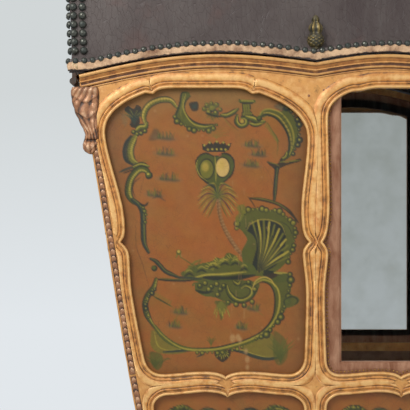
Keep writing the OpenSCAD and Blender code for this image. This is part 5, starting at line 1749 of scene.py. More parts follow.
    def border(self) -> None:
        """Green ground, blue bars and leaves along the foot."""
        c = self.canvas
        c.fill(((-142, 106), (-146, 76), (-134, 58), (-104, 52), (-66, 56), (-66, 68), (-88, 74), (-112, 92)),
               Tint.MOSS, 0.8, 3)
        c.fill(((58, 68), (84, 80), (108, 98), (126, 100), (138, 84), (156, 60), (140, 44), (96, 42)),
               Tint.MOSS, 0.8, 3)
        c.stroke(((-138, 104), (-128, 70), (-100, 58)), 3, Tint.LIGHT, 0.5)
        c.stroke(((-116, 57), (-80, 60), (-40, 61), (-30, 52), (-40, 46)), 7, Tint.BLUE, 0.95)
        c.stroke(((-114, 60), (-80, 63), (-40, 64)), 2, Tint.LIGHT, 0.7)
        c.stroke(((-26, 57), (-6, 62), (14, 62)), 7, Tint.BLUE, 0.95)
        c.stroke(((34, 62), (60, 58), (86, 48), (112, 42), (138, 43), (152, 50)), 8.5, Tint.BLUE, 0.95)
        c.stroke(((36, 65), (62, 61), (88, 52), (114, 46), (138, 47)), 2.2, Tint.LIGHT, 0.7)
        c.fill(((2, 62), (32, 62), (34, 48), (17, 34), (0, 48)), Tint.DARK, 0.9)
        c.fan((17, 62), 215, 325, 24, 8, 3, Tint.GREEN, 0, 0.9, Tint.LIGHT)
        c.fill(((-148, 56), (-144, 30), (-130, 16), (-118, 30), (-122, 52)), Tint.GREEN, 0.8, 3)
        c.fan((-134, 22), 60, 130, 34, 8, 3, Tint.GREEN, 0.4, 0.85, Tint.MOSS)
        c.stroke(((-126, 28), (-112, 40), (-100, 42)), 4, Tint.GREEN, 0.8)
        c.fill(((134, 104), (130, 70), (136, 34), (150, 28), (164, 48), (160, 84)), Tint.GREEN, 0.7, 4)
        c.fan((148, 34), 60, 120, 62, 9, 3, Tint.GREEN, 0.35, 0.8, Tint.MOSS)
        c.fan((-9, 72), 60, 120, 24, 6, 2.2, Tint.GREEN, 0.3, 0.8)
        c.stroke(((-9, 66), (-9, 90)), 1.8, Tint.MOSS, 0.8)

    def wear(self) -> None:
        """Old scuffs down the right of the middle, and soft rubs."""
        c = self.canvas
        rng = np.random.default_rng(9)
        for _ in range(26):
            u, v = rng.uniform(36, 70), rng.uniform(4, 450)
            c.stroke(((u, v), (u + rng.uniform(-2, 2), v + rng.uniform(6, 26))), rng.uniform(1.0, 2.4),
                     Tint.PALE,
                     rng.uniform(0.12, 0.34), 2.2)
        for u, v, r in ((73, 40, 5), (73, 22, 4), (70, 58, 4), (40, 88, 6), (52, 90, 5), (57, 84, 4)):
            c.dot((u, v), r, Tint.PALE, 0.55, 1.5, 4)
        for _ in range(70):
            u, v = rng.uniform(-210, 200), rng.uniform(6, 640)
            c.dot((u, v), rng.uniform(1.2, 3.2), Tint.UMBER if rng.random() < 0.6 else Tint.PALE, 0.22, 1,
                  2.5)


def garland(canvas: Canvas, u0: float, v0: float, w: float, h: float) -> None:
    """A mirrored pair of scrolls with leaves under a panel's head, w wide and h tall, from (u0, v0) up."""
    for side in (-1, 1):
        def at(*points: tuple[float, float]) -> Array:
            return np.array([(u0 + side * a * w / 2, v0 + b * h) for a, b in points])
        canvas.scroll(at((0.98, 0.55), (0.9, 0.86), (0.72, 0.98), (0.52, 0.86), (0.46, 0.62), (0.56, 0.5)),
                      9, ribs=7)
        canvas.scroll(at((0.5, 0.8), (0.34, 0.94), (0.18, 0.86), (0.06, 0.7)), 8, Tint.BLUE, Tint.MOSS)
        canvas.scroll(at((0.95, 0.6), (1.0, 0.34), (0.92, 0.12), (0.78, 0.06)), 7, Tint.GREEN)
        canvas.lobes(at((0.94, 0.9), (0.72, 1.04), (0.5, 0.92)), 9, 11, Tint.GREEN, side)
        canvas.scroll(at((0.3, 0.6), (0.2, 0.44), (0.06, 0.4)), 6, Tint.MOSS)
        canvas.stroke(at((0.72, 0.9), (0.68, 0.6), (0.74, 0.36)), 4, Tint.MOSS, 0.8)
    canvas.fill(((u0 - 16, v0 + 0.5 * h), (u0 - 12, v0 + 0.8 * h), (u0, v0 + 0.98 * h), (u0 + 12,
                                                                                         v0 + 0.8 * h),
                 (u0 + 16, v0 + 0.5 * h), (u0, v0 + 0.36 * h)), Tint.DARK, 0.95)
    canvas.fan((u0, v0 + 0.46 * h), 45, 135, 0.46 * h, 7, 4, Tint.GREEN, 0, 0.9, Tint.LIGHT)


def quiet_picture(canvas: Canvas, half_w: float, foot: float, head: float, rich: bool) -> None:
    """A plainer picture for the other panels: garlands at head and foot, tufts, and an urn or a spray between."""
    span = head - foot
    garland(canvas, 0, head - 0.26 * span, 1.72 * half_w, 0.2 * span)
    for side in (-1, 1):
        line = [(side * half_w * 0.86, foot + 0.7 * span), (side * half_w * 0.78, foot + 0.5 * span),
                (side * half_w * 0.84, foot + 0.3 * span), (side * half_w * 0.7, foot + 0.14 * span),
                (side * half_w * 0.36, foot + 0.09 * span), (0, foot + 0.1 * span)]
        canvas.scroll(np.array(line), 9, Tint.GREEN, Tint.LIGHT, side, ribs=9)
        canvas.lobes(np.array(line[2:5]), 10, 12, Tint.GREEN, side)
        canvas.tuft((side * half_w * 0.45, foot + 0.56 * span), 24, Tint.GREEN, 3 + side)
        canvas.tuft((side * half_w * 0.4, foot + 0.26 * span), 22, Tint.MOSS, 8 + side)
        canvas.fan((side * half_w * 0.72, foot + 0.05 * span), 60, 120, 0.1 * span, 6, 3, Tint.GREEN, 0.3,
                   0.8, Tint.MOSS)
    canvas.fan((0, foot + 0.08 * span), 215, 325, 22, 7, 3, Tint.GREEN, 0, 0.9, Tint.LIGHT)
    if rich:
        mid = foot + 0.42 * span
        canvas.fill(((-60, mid), (-40, mid + 26), (-14, mid + 34), (16, mid + 40), (44, mid + 26), (64,
                                                                                                    mid - 2),
                     (20, mid - 12), (-24, mid - 10)), Tint.GREEN, 0.92)
        canvas.stroke(((-70, mid - 6), (0, mid - 14), (74, mid - 6)), 9, Tint.DARK, 0.92)
        for k, a in enumerate((-0.5, -0.2, 0.1, 0.42)):
            canvas.fan((a * 90, mid + 10), 55, 130, 40 + 6 * (k % 2), 8, 3.4, Tint.MOSS, 0.4, 0.85,
                       Tint.LIGHT)
        canvas.fan((6, mid + 70), 20, 160, 60, 11, 2.6, Tint.MOSS, 0.5, 0.75)
        canvas.stroke(((0, mid + 20), (-4, mid + 50), (6, mid + 76)), 6, Tint.GREY, 0.7, 2)


@dataclass
class PaintedPanels(Trim):
    """Every painted panel, a finely divided sheet a hair in front of its board."""

    finishes: dict[Finish, bpy.types.Material]
    crown: float = 1.6
    lift: float = 0.4

    def build(self) -> None:
        """Paints the panels of both sides, the back and the door."""
        for side, fine in (("right", 2.0), ("left", 3.0)):
            self.panel(f"{side}_upper_painting", side, Bay.REAR_UPPER, fine, "chair")
            self.panel(f"{side}_rear_lower_painting", side, Bay.REAR_LOWER, 3.4, "chair")
            self.panel(f"{side}_front_lower_painting", side, Bay.FRONT_LOWER, 3.4, "chair")
        self.panel("back_upper_painting", "back_up", Bay.BACK_UPPER, 4.0, "chair")
        self.panel("back_lower_painting", "back_low", Bay.BACK_LOWER, 4.0, "chair")
        self.panel("door_painting", "door", Bay.DOOR_PANEL, 3.6, "door")

    def panel(self, name: str, plane_name: str, bay: Bay, fine: float, body: str) -> None:
        """A grid between the sight's two side lines; its middle is crowned by a sine over both ways."""
        sight, plane = SIGHTS[bay], PLANES[plane_name]
        low, high = sight.foot - 11, sight.head + 7
        zs = np.linspace(low, high, int((high - low) / fine) + 1)
        left = np.array([sight._edge(sight.left, z) for z in zs]) - 9
        right = np.array([sight._edge(sight.right, z) for z in zs]) + 9
        count = int((right - left).mean() / fine) + 1
        s = np.linspace(0, 1, count)
        a = left[:, None] + (right - left)[:, None] * s[None]
        b = np.broadcast_to(zs[:, None], a.shape)
        depth = LINES.face_t if plane_name != "door" else 10.0
        t = np.linspace(0, 1, len(zs))[:, None]
        h = -depth + self.lift + self.crown * (np.sin(np.pi * s)[None] * np.sin(np.pi * t)) ** 0.7
        verts = plane.place(a, b, h).reshape(-1, 3)
        faces = grid_faces(len(zs), count, flip=plane.turns_right)
        colours = self.paint(plane_name, bay, a.ravel(), b.ravel())
        self.put(name, verts, faces, body, Finish.PANEL, "painted_panel", colours=colours)

    def paint(self, plane_name: str, bay: Bay, a: Array, b: Array) -> Array:
        """Paints a panel's picture and gives its colours."""
        sight = SIGHTS[bay]
        mirror = -1 if plane_name in ("back_up", "back_low") else 1
        if bay is Bay.REAR_UPPER:
            canvas = Canvas(a + 166, b - 776)
            SidePicture(canvas).paint()
            return canvas.rgb
        mid = (sight._edge(sight.left, sight.foot) + sight._edge(sight.right, sight.foot)) / 2
        slope = ((sight._edge(sight.left, sight.head) + sight._edge(sight.right, sight.head)) / 2 - mid)
        shift = mid + slope * (b - sight.foot) / (sight.head - sight.foot)
        half = (sight._edge(sight.right, sight.head) - sight._edge(sight.left, sight.head)) / 2
        canvas = Canvas((a - shift) * mirror, b - sight.foot, 11)
        quiet_picture(canvas, half, 0, sight.head - sight.foot, bay is Bay.BACK_UPPER)
        return canvas.rgb


# ---------------------------------------------------------------- the roof

@dataclass
class Roof(Trim):
    """Leather-covered roof: shell, rim, braid, nails and finials."""

    finishes: dict[Finish, bpy.types.Material]
    side_h: float = 150.0
    dome: float = 112.0
    corner_r: float = 14.0
    nail_r: float = 7.0
    nail_pitch: float = 19.0
    hip_pitch: float = 21.0
    finial_h: float = 78.0

    def __post_init__(self) -> None:
        """Works out the shell's middle and half sizes from the rim's lines."""
        c = LINES
        self.x0, self.x1 = c.back_edge(c.crest_z) - c.roof_over_x, c.front_x + c.roof_over_x
        self.mid = (self.x0 + self.x1) / 2
        self.hx, self.hy = (self.x1 - self.x0) / 2 - 2, c.rim_y - c.ledge_w
        self.shoulder = c.crest_z + c.roof_gap + c.rim_h + self.side_h
        self.side_low = float(c.cross_crest(c.in_y))

    def build(self) -> None:
        """Builds every piece that rides on the roof."""
        self.shell()
        self.rim_leather()
        self.braid()
        self.nails()
        self.finials()
        self.lining()

    def foot(self, x: Array, y: Array) -> Array:
        """Height of the rim's underside at a place on its plan: the higher of the crests it must clear."""
        c = LINES
        side = np.maximum(c.crest(x), self.side_low)
        end = c.cross_crest(y)
        edge = np.clip((np.abs(y) - (self.hy - 26)) / 26, 0, 1)
        return c.roof_gap + side * edge + end * (1 - edge)

    def plan(self, hx: float, hy: float, r: float, step: float = 12.0) -> Array:
        """A rectangle with round corners, counterclockwise from the right rear corner."""
        t = np.linspace(0, np.pi / 2, 7)
        parts = []
        for k, (sx, sy) in enumerate(((-1, -1), (1, -1), (1, 1), (-1, 1))):
            a = t + np.pi + k * np.pi / 2
            arc = np.stack([self.mid + sx * (hx - r) + r * np.cos(a), sy * (hy - r) + r * np.sin(a)], 1)
            parts.append(arc)
        ring = []
        for k in range(4):
            a, b = parts[k], parts[(k + 1) % 4]
            n = int(round(np.linalg.norm((2 * hx if k % 2 == 0 else 2 * hy) / step)))
            f = np.linspace(0, 1, n + 1)[1:-1, None]
            ring += [a, a[-1] + (b[0] - a[-1]) * f]
        return np.vstack(ring)

    def skin_point(self, f: Array, ring: Array) -> Array:
        """Shell at f: 0 to 1 up the side, 1 to 2 over the dome.

        The side flares by a sine and rises from the rim to the shoulder; the dome shrinks by cos^0.8
        of its angle and rises by the sine.
        """
        c = LINES
        f = f[:, None]
        up = np.clip(f, 0, 1)
        angle = np.clip(f - 1, 0, 1) * np.pi / 2 * 0.985
        shrink = np.cos(angle) ** 0.8
        flare = 5 * np.sin(up * np.pi / 2)
        x = self.mid + (ring[None, :, 0] - self.mid) * (1 + flare / self.hx) * shrink
        y = ring[None, :, 1] * (1 + flare / self.hy) * shrink
        base = self.foot(ring[:, 0], ring[:, 1])[None] + c.rim_h
        z = base + (self.shoulder - base) * up + self.dome * np.sin(angle)
        return np.stack([x, y, z], -1)

    def shell(self) -> None:
        """The leather skin: soft waves by noise, a sag up each side and one pressed seam at the shoulder."""
        ring = self.plan(self.hx, self.hy, self.corner_r, 7.0)
        f = np.r_[np.linspace(0.0, 1, 26), 1 + np.linspace(0.03, 1, 34)]
        pts = self.skin_point(f, ring)
        flat = pts.reshape(-1, 3)
        out = flat - np.array([self.mid, 0, self.shoulder - 60])
        out /= np.linalg.norm(out, axis=1, keepdims=True)
        grow = np.repeat(np.clip(np.minimum(f * 9, 1), 0, 1), len(ring))
        wave = smooth_noise(flat, 260, 21) * 1.8 + smooth_noise(flat * np.array([1, 1, 0.4]), 70, 22) * 0.7
        sag = -2.2 * np.repeat(np.sin(np.pi * np.clip(f, 0, 1)), len(ring))
        seam = -1.2 * np.exp(-((np.repeat(f, len(ring)) - 1.02) / 0.02) ** 2)
        flat = flat + out * ((wave + sag + seam) * grow + 0.6)[:, None]
        top = flat[-len(ring):].mean(0) + np.array([0, 0, 1.5])
        verts = np.vstack([flat, np.repeat(top[None], len(ring), 0)])
        faces = grid_faces(len(f) + 1, len(ring), wrap_m=True, flip=True)
        obj = self.put("roof_leather_skin", verts * MM, faces[:, ::-1], "roof", Finish.LEATHER,
                       "roof_leather")
        weld(obj)
        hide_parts("roof_shell")

    def rim_leather(self) -> None:
        """Leather turned over the rim: from the shell out along the ledge, round the edge and under it."""
        c = LINES
        path = self.plan(self.hx + 2.4, c.rim_y + 0.4, 5.0, 7.0)
        out = outward(path)
        prof = np.array([(-31, c.rim_h + 1.5), (-24, c.rim_h + 1.2), (-10, c.rim_h + 1.0), (-2.6,
                                                                                            c.rim_h + 0.8),
                         (-0.4, c.rim_h - 0.6), (0.5, c.rim_h - 3), (0.6, 12), (0.5, 1.5), (-0.6, -0.3),
                             (-5, -0.6)])
        where = path[:, None] + out[:, None] * prof[None, :, 0, None]
        base = self.foot(path[:, 0], path[:, 1])
        z = base[:, None] + prof[None, :, 1]
        verts = np.concatenate([where, z[..., None]], -1).reshape(-1, 3)
        verts[:, 2] += 0.25 * smooth_noise(verts, 60, 31)
        self.put("rim_leather", verts * MM, grid_faces(len(path), len(prof), wrap_n=True, flip=True), "roof",
                 Finish.LEATHER, "roof_leather")

    def braid(self) -> None:
        """Worn braid round the rim, one strip.

        Its lower edge wanders by noise, and its face ripples with a short sine.
        """
        c = LINES
        path = self.plan(self.hx + 2.4, c.rim_y + 0.4, 5.0, 2.6)
        out = outward(path)
        n, m = len(path), 9
        run = np.r_[0, np.cumsum(np.linalg.norm(np.diff(path, axis=0), axis=1))]
        t = np.linspace(0, 1, m)[None]
        rag = 1.6 * smooth_noise(path, 60, 41)[:, None] + 1.3 * smooth_noise(path, 7, 42)[:, None]
        thin = 4.5 * np.clip(smooth_noise(path, 420, 45), 0, 1)[:, None]
        low, high = 1.6 + rag, 17.5 + 0.8 * smooth_noise(path, 12, 43)[:, None] - thin
        z = self.foot(path[:, 0], path[:, 1])[:, None] + low + (high - low) * t
        puff = 1.5 + 1.1 * np.sin(np.pi * t) + 0.5 * np.sin(run[:, None] / 1.9) * np.sin(2 * np.pi * t)
        puff = puff + 1.3 * np.abs(smooth_noise(path, 22, 44))[:, None] * (1 - t)
        where = path[:, None] + out[:, None] * puff[..., None]
        verts = np.concatenate([where, z[..., None]], -1).reshape(-1, 3)
        obj = self.put("rim_braid", verts * MM, grid_faces(n, m, wrap_n=True, flip=False), "roof",
                       Finish.BRAID,
                       "roof_leather")
        set_uv(obj, np.stack([np.repeat(run, m), np.tile(t[0] * 16, n)], 1) * MM)
        thicken(obj, 0.8)

    def row(self, points: Array, out: Array, radius: float) -> tuple[Array, Array]:
        """Round nail heads at places, each a dome facing its own way: rings at radius r, height sqrt(1 - r^2)."""
        out = out / np.linalg.norm(out, axis=1, keepdims=True)
        side = np.cross(out, np.array([0.02, 0.03, 1.0]))
        side /= np.linalg.norm(side, axis=1, keepdims=True)
        up = np.cross(side, out)
        r = np.array([1.0, 0.96, 0.8, 0.5, 0.04])[:, None]
        t = np.linspace(0, 2 * np.pi, 10, endpoint=False)[None]
        h = np.array([-0.15, 0.22, 0.5, 0.7, 0.78])[:, None] + 0 * t
        local = np.stack([r * np.cos(t), r * np.sin(t), h], -1).reshape(-1, 3) * radius
        verts = points[:, None] + local[None, :, 0, None] * side[:, None] + local[None, :, 1, None] * up[:,
                                                                                                         None] \
            + local[None, :, 2, None] * out[:, None]
        one = grid_faces(5, 10, wrap_m=True, flip=False)
        faces = (one[None] + np.arange(len(points))[:, None, None] * 50).reshape(-1, 4)
        return verts.reshape(-1, 3), faces

    def nails(self) -> None:
        """Nail heads round the rim, and two columns up each hip."""
        c = LINES
        path = spread(self.plan(self.hx + 2.4, c.rim_y + 0.4, 5.0, 5.0), self.nail_pitch, closed=True)
        out2 = outward(path)
        jitter = np.random.default_rng(8).uniform(-0.8, 0.8, (len(path), 2))
        path = path + jitter * 0.5
        lift = c.rim_h - 3.5 + jitter[:, 0]
        pts = np.concatenate([path + out2 * 1.4, (self.foot(path[:, 0], path[:, 1]) + lift)[:, None]], 1)
        out = np.concatenate([out2, 0.25 + 0 * out2[:, :1]], 1)
        rim = self.row(pts, out, self.nail_r)
        hips, ways = [], []
        for sx in (-1, 1):
            for sy in (-1, 1):
                for off in (10.0, 30.0):
                    spot = np.array([[self.mid + sx * (self.hx - off), sy * self.hy]])
                    f = np.linspace(0.16, 0.98, int((self.side_h - 20) / self.hip_pitch) + 1)
                    p = self.skin_point(f, spot)[:, 0]
                    p[:, 1] += sy * 0.8
                    hips.append(p)
                    ways.append(np.tile([0.0, sy, 0.1], (len(p), 1)))
                spot = np.array([[self.mid + sx * self.hx, sy * (self.hy - 10.0)]])
                p = self.skin_point(np.linspace(0.16, 0.98, 7), spot)[:, 0]
                p[:, 0] += sx * 0.8
                hips.append(p)
                ways.append(np.tile([float(sx), 0.0, 0.1], (len(p), 1)))
        hip = self.row(np.vstack(hips), np.vstack(ways), 9.0)
        verts, faces = merged([rim, hip])
        self.put("roof_nails", verts * MM, faces, "roof", Finish.NAIL, "brass")

    def finials(self) -> None:
        """Pine-cone finials: a turned profile whose bulb is cut into rising scales by two crossed sines."""
        c = LINES
        h = self.finial_h
        z0 = c.crest_z + c.stile_rise + c.roof_gap + c.rim_h + 1.5
        prof = np.array([(0.02, 0), (0.12, 0), (0.12, 0.03), (0.1, 0.05), (0.17, 0.1), (0.215, 0.16),
                         (0.235, 0.24),
                         (0.23, 0.32), (0.19, 0.4), (0.15, 0.46), (0.145, 0.5), (0.17, 0.55), (0.18, 0.61),
                             (0.16, 0.68),
                         (0.12, 0.75), (0.09, 0.8), (0.11, 0.85), (0.1, 0.91), (0.06, 0.96), (0.005, 1.0)])
        s = np.linspace(0, 1, 66)
        key = np.linspace(0, 1, len(prof))
        r, z = np.interp(s, key, prof[:, 0])[:, None], np.interp(s, key, prof[:, 1])[:, None]
        t = np.linspace(0, 2 * np.pi, 48, endpoint=False)[None]
        bulb = np.exp(-((z - 0.24) / 0.17) ** 4)
        crown = np.exp(-((z - 0.64) / 0.22) ** 4)
        scale = np.abs(np.sin(4 * t + z * 30)) * np.abs(np.sin(4 * t - z * 30))
        leaf = 0.5 + 0.5 * np.cos(6 * t)
        rr = r * (1 + bulb * (0.22 * scale - 0.1) + crown * (0.3 * leaf - 0.14))
        shape = np.stack([rr * np.cos(t), rr * np.sin(t), z + 0 * t], -1).reshape(-1, 3) * h
        raise_ = np.clip(0.45 + (bulb * (scale - 0.4) + crown * (leaf - 0.5)) * 0.9, 0, 1).ravel()
        parts = []
        for side in (-1, 1):
            at = np.array([c.stile_x, side * (self.hy + c.ledge_w * 0.72), z0])
            parts.append((shape + at, grid_faces(66, 48, wrap_m=True, flip=True)))
        verts, faces = merged(parts)
        obj = self.put("finials", verts * MM, faces, "roof", Finish.FINIAL, "gilt_wood",
                       masks={"raise": np.tile(raise_, 2)})
        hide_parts("roof_finials")

    def lining(self) -> None:
        """Silk ceiling inside the roof: a smaller copy of the dome with shallow pleats.

        It stops short of the dome's middle, where it leaves an opening.
        """
        ring = self.plan(self.hx - 14, self.hy - 14, 10.0, 14.0)
        f = np.linspace(0.02, 1.98, 30)
        pts = self.skin_point(f, ring)
        pts[..., 2] -= 12 * np.clip(f - 0.2, 0, 1)[:, None]
        t = np.arctan2(pts[..., 1], pts[..., 0] - self.mid)
        pts[..., 2] += 1.6 * np.sin(t * 30) * np.clip(f - 1, 0, 1)[:, None]
        verts = pts.reshape(-1, 3) * MM
        obj = self.put("roof_lining", verts, grid_faces(len(f), len(ring), wrap_m=True), "roof", Finish.SILK,
                       "velvet")
        run = np.r_[0, np.cumsum(np.linalg.norm(np.diff(ring, axis=0), axis=1))]
        set_uv(obj, np.stack([np.tile(run, len(f)), np.repeat(f * 250, len(ring))], 1) * MM)


def set_uv(obj: bpy.types.Object, uv: Array) -> None:
    """Gives each corner of each face its vertex's UV, in metres."""
    mesh = obj.data
    loops = np.zeros(len(mesh.loops), np.int32)
    mesh.loops.foreach_get("vertex_index", loops)
    layer = mesh.uv_layers.new(name="cloth")
    layer.data.foreach_set("uv", uv[loops].astype(np.float32).ravel())


def weld(obj: bpy.types.Object) -> None:
    """Merges doubled points and turns the faces outwards."""
    work = bmesh.new()
    work.from_mesh(obj.data)
    bmesh.ops.remove_doubles(work, verts=work.verts, dist=1e-5)
    bmesh.ops.recalc_face_normals(work, faces=work.faces)
    work.to_mesh(obj.data)
    work.free()


def thicken(obj: bpy.types.Object, thickness: float) -> None:
    """Gives a sheet its thickness in millimetres."""
    mod = obj.modifiers.new("thickness", "SOLIDIFY")
    mod.thickness = thickness * MM
    mod.offset = 0


# ---------------------------------------------------------------- consoles, sashes and soft goods

@dataclass
class Consoles(Trim):
    """Four carved leaf consoles under the roof's corners, and a leaf scrap on each corner of the roof."""

    finishes: dict[Finish, bpy.types.Material]
    top: float = 1430.0
    depth: float = 14.0
    table: tuple[tuple[float, float, float], ...] = (
        (0, -22, 36), (8, -25, 37), (22, -27, 36), (42, -26, 31), (60, -23, 27), (78, -17, 23), (94, -12, 21),
        (106, -10, 20), (116, -13, 19), (128, -19, 16), (138, -20, 11), (145, -17, 5), (150, -9, -3))

    def build(self) -> None:
        """Builds the four consoles as one piece."""
        parts, raises = [], []
        for name in ("right", "left"):
            for front in (False, True):
                verts, faces, rise = self.console(PLANES[name], front)
                parts.append((verts, faces))
                raises.append(rise)
        verts, faces = merged(parts)
        obj = self.put("corner_consoles", verts, faces, "chair", Finish.CARVING, "gilt_wood",
                       masks={"raise": np.concatenate(raises)})
        weld(obj)
        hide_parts("corner_carvings")
        self.corner_leaves()

    def console(self, plane: Plane, front: bool) -> tuple[Array, Array, Array]:
        """One console: rings round the leaf, stacked from its head to its scroll foot.

        Across each ring the front stands out by a flattened arch cut by flutes that fan and turn down
        the leaf; the back lies on the cabin, and wraps its corner where the leaf stands past it.
        """
        c = LINES
        key = np.array(self.table)
        s = np.linspace(0, 1, 76)
        drop = 150 * s
        left, right = np.interp(drop, key[:, 0], key[:, 1]), np.interp(drop, key[:, 0], key[:, 2])
        left = left - 1.4 * np.abs(np.sin(drop / 7.5)) * (drop < 100)
        z = self.top - drop
        edge = np.full_like(z, -c.front_x) if front else np.array([c.back_edge(v) for v in z])
        t = np.linspace(-1, 1, 41)[None]
        ss = s[:, None]
        x = edge[:, None] + (left + right)[:, None] / 2 + t * (right - left)[:, None] / 2
        arch = np.sqrt(np.maximum(0, 1 - np.abs(t) ** 3.2))
        bend = 1.1 * np.sin(4.4 * ss) + 0.7 * t * np.cos(9 * ss) + 1.8 * ss
        fan = np.abs(np.sin((2.1 * t * (1 - 0.3 * ss) + bend) * np.pi))
        husk = np.mod(4.2 * ss + 0.55 * np.abs(t) ** 1.4, 1.0)
        flute = 0.5 + 0.28 * fan**0.6 + 0.22 * husk
        curl = np.exp(-((ss - 0.05) / 0.045) ** 2) * 0.3
        eye = np.exp(-(((ss - 0.9) / 0.055) ** 2 + ((t + 0.25) / 0.55) ** 2)) * 0.55
        groove = -0.5 * np.exp(-(((ss - 0.8) / 0.022) ** 2))
        side_leaf = 0.2 * np.exp(-((t - 0.62) / 0.16) ** 2) * np.abs(np.sin(ss * 26))
        body = self.depth * arch * (flute * (0.92 - 0.35 * np.clip(ss, 0,
                                                                   0.8)) + curl + eye + groove + side_leaf)
        body = np.clip(body, 0.4, self.depth + 1)
        behind_x = np.stack([x[:, -1] - 0.5, np.minimum(edge + 0.6, x[:, -1] - 1), np.minimum(edge + 0.6,
                                                                                              x[:, -1] - 1),
                             x[:, 0] + 3, x[:, 0] + 0.6], 1)
        behind_h = np.tile([-0.6, -0.6, -28.0, -28.0, -14.0], (len(s), 1))
        ring_x, ring_h = np.hstack([x, behind_x]), np.hstack([body, behind_h])
        if front:
            ring_x = -ring_x
        zz = np.broadcast_to(z[:, None], ring_x.shape)
        verts = plane.place(ring_x, zz, ring_h)
        ends = [np.repeat(verts[k].mean(0, keepdims=True), ring_x.shape[1], 0)[None] for k in (0, -1)]
        verts = np.concatenate([ends[0], verts, ends[1]]).reshape(-1, 3)
        n, m = len(s) + 2, ring_x.shape[1]
        raise_ = np.hstack([np.clip(fan * 0.5 + husk * 0.4 + curl + eye * 0.5 + groove, 0,
                                    1) * np.minimum(1, arch + 0.25),
                            np.full(behind_x.shape, 0.3)])
        raise_ = np.vstack([raise_[:1], raise_, raise_[-1:]])
        return verts, grid_faces(n, m, wrap_m=True, flip=plane.turns_right != front), raise_.ravel()

    def corner_leaves(self) -> None:
        """Ragged leaf scraps wrapped round the roof's corners under the nails: a short ruffled strip each."""
        c = LINES
        x0, x1 = c.back_top - c.roof_over_x, c.front_x + c.roof_over_x
        parts, raises = [], []
        t = np.linspace(0, 1, 46)[:, None]
        u = np.linspace(0, 1, 12)[None]
        for sx, cx in ((-1, x0), (1, x1)):
            for sy in (-1, 1):
                a = t * np.pi / 2
                r = 20.0
                px = cx - sx * r + sx * r * np.cos(a) + 0 * u
                py = sy * (c.rim_y - r + r * np.sin(a)) + 0 * u
                ox, oy = sx * np.cos(a), sy * np.sin(a)
                ruff = 2.2 + 2.6 * np.abs(np.sin(t * 15)) * np.sin(np.pi * u) + 1.2 * np.sin(u * 9 + t * 31)
                z = c.crest_z + c.roof_gap + 5 + u * (22 + 4 * np.sin(t * 19)) + 0 * t
                v = np.stack([px + ox * ruff, py + oy * ruff, z], -1).reshape(-1, 3) * MM
                parts.append((v, grid_faces(46, 12, flip=sx * sy > 0)))
                raises.append(np.clip(0.25 + 0.75 * np.abs(np.sin(t * 15)) * np.sin(np.pi * u), 0, 1).ravel())
        verts, faces = merged(parts)
        obj = self.put("roof_corner_leaves", verts, faces, "roof", Finish.SCRAP, "gilt_wood",
                       masks={"raise": np.concatenate(raises)})
        thicken(obj, 1.2)


@dataclass
class Sashes(Trim):
    """Velvet-covered window sashes with small nails."""

    finishes: dict[Finish, bpy.types.Material]
    face: float = 12.0
    puff: float = 3.2
    pane: tuple[float, float, float, float] = (119.5, 384.5, 811.5, 60.5)

    def build(self) -> None:
        """Builds a band and its nails on both sides."""
        for name in ("right", "left"):
            self.band(name)

    def band(self, name: str) -> None:
        """Padded velvet between the sight and the pane: each sight point joined to the nearest pane point.

        The pad's height is a sine across the band with a wrinkle along it.
        """
        c, plane = LINES, PLANES[name]
        x0, x1, z0, down = self.pane
        outer = spread(SIGHTS[Bay.WINDOW].outline(), 3.5, closed=True)
        outer = outer - outward(outer) * 0.4
        px = np.clip(outer[:, 0], x0, x1)
        pz = np.clip(outer[:, 1], z0, c.crest(px) - down)
        inner = np.stack([px, pz], 1)
        t = np.linspace(0, 1, 13)[None, :, None]
        where = outer[:, None] * (1 - t) + inner[:, None] * t
        tt = t[..., 0]
        flat = where.reshape(-1, 2)
        wrinkle = (smooth_noise(flat, 26, 51) * 0.35 + smooth_noise(flat, 90,
                                                                    52) * 0.4).reshape(where.shape[:2])
        dip = 1.5 * np.exp(-((tt - 0.17) / 0.06) ** 2)
        h = -self.face + 0.3 + self.puff * np.sin(np.pi * tt) ** 0.6 + wrinkle * np.sin(np.pi * tt) - dip
        h[:, -1] = -self.face - 11
        verts = plane.place(where[..., 0], where[..., 1], h).reshape(-1, 3)
        self.put(f"{name}_sash_velvet", verts, grid_faces(len(outer), 13, wrap_n=True,
                                                          flip=not plane.turns_right),
                       "chair", Finish.VELVET, "velvet")
        nails = spread(where[:, 2], 8.5, closed=True)
        ways = np.tile(np.array(plane.out, float), (len(nails), 1))
        centre = np.stack([nails[:, 0], np.full(len(nails),
                                                plane.origin[1]) + plane.out[1] * (-self.face + 1.4),
                           nails[:, 1]], 1)
        verts, faces = dome_row(centre, ways, 2.2, 8)
        self.put(f"{name}_sash_nails", verts * MM, faces, "chair", Finish.BRASS, "brass")


def dome_row(points: Array, out: Array, radius: float, sides: int) -> tuple[Array, Array]:
    """Small round heads at places: three rings each, the last nearly a point, raised like a low dome."""
    side = np.cross(out, np.array([0.02, 0.03, 1.0]))
    side /= np.linalg.norm(side, axis=1, keepdims=True)
    up = np.cross(side, out)
    r = np.array([1.0, 0.8, 0.04])[:, None]
    t = np.linspace(0, 2 * np.pi, sides, endpoint=False)[None]
    h = np.array([-0.2, 0.55, 0.85])[:, None] + 0 * t
    local = np.stack([r * np.cos(t), r * np.sin(t), h], -1).reshape(-1, 3) * radius
    verts = points[:, None] + local[None, :, 0, None] * side[:, None] + local[None, :, 1, None] * up[:,
                                                                                                     None] \
        + local[None, :, 2, None] * out[:, None]
    one = grid_faces(3, sides, wrap_m=True)
    faces = (one[None] + np.arange(len(points))[:, None, None] * (3 * sides)).reshape(-1, 4)
    return verts.reshape(-1, 3), faces


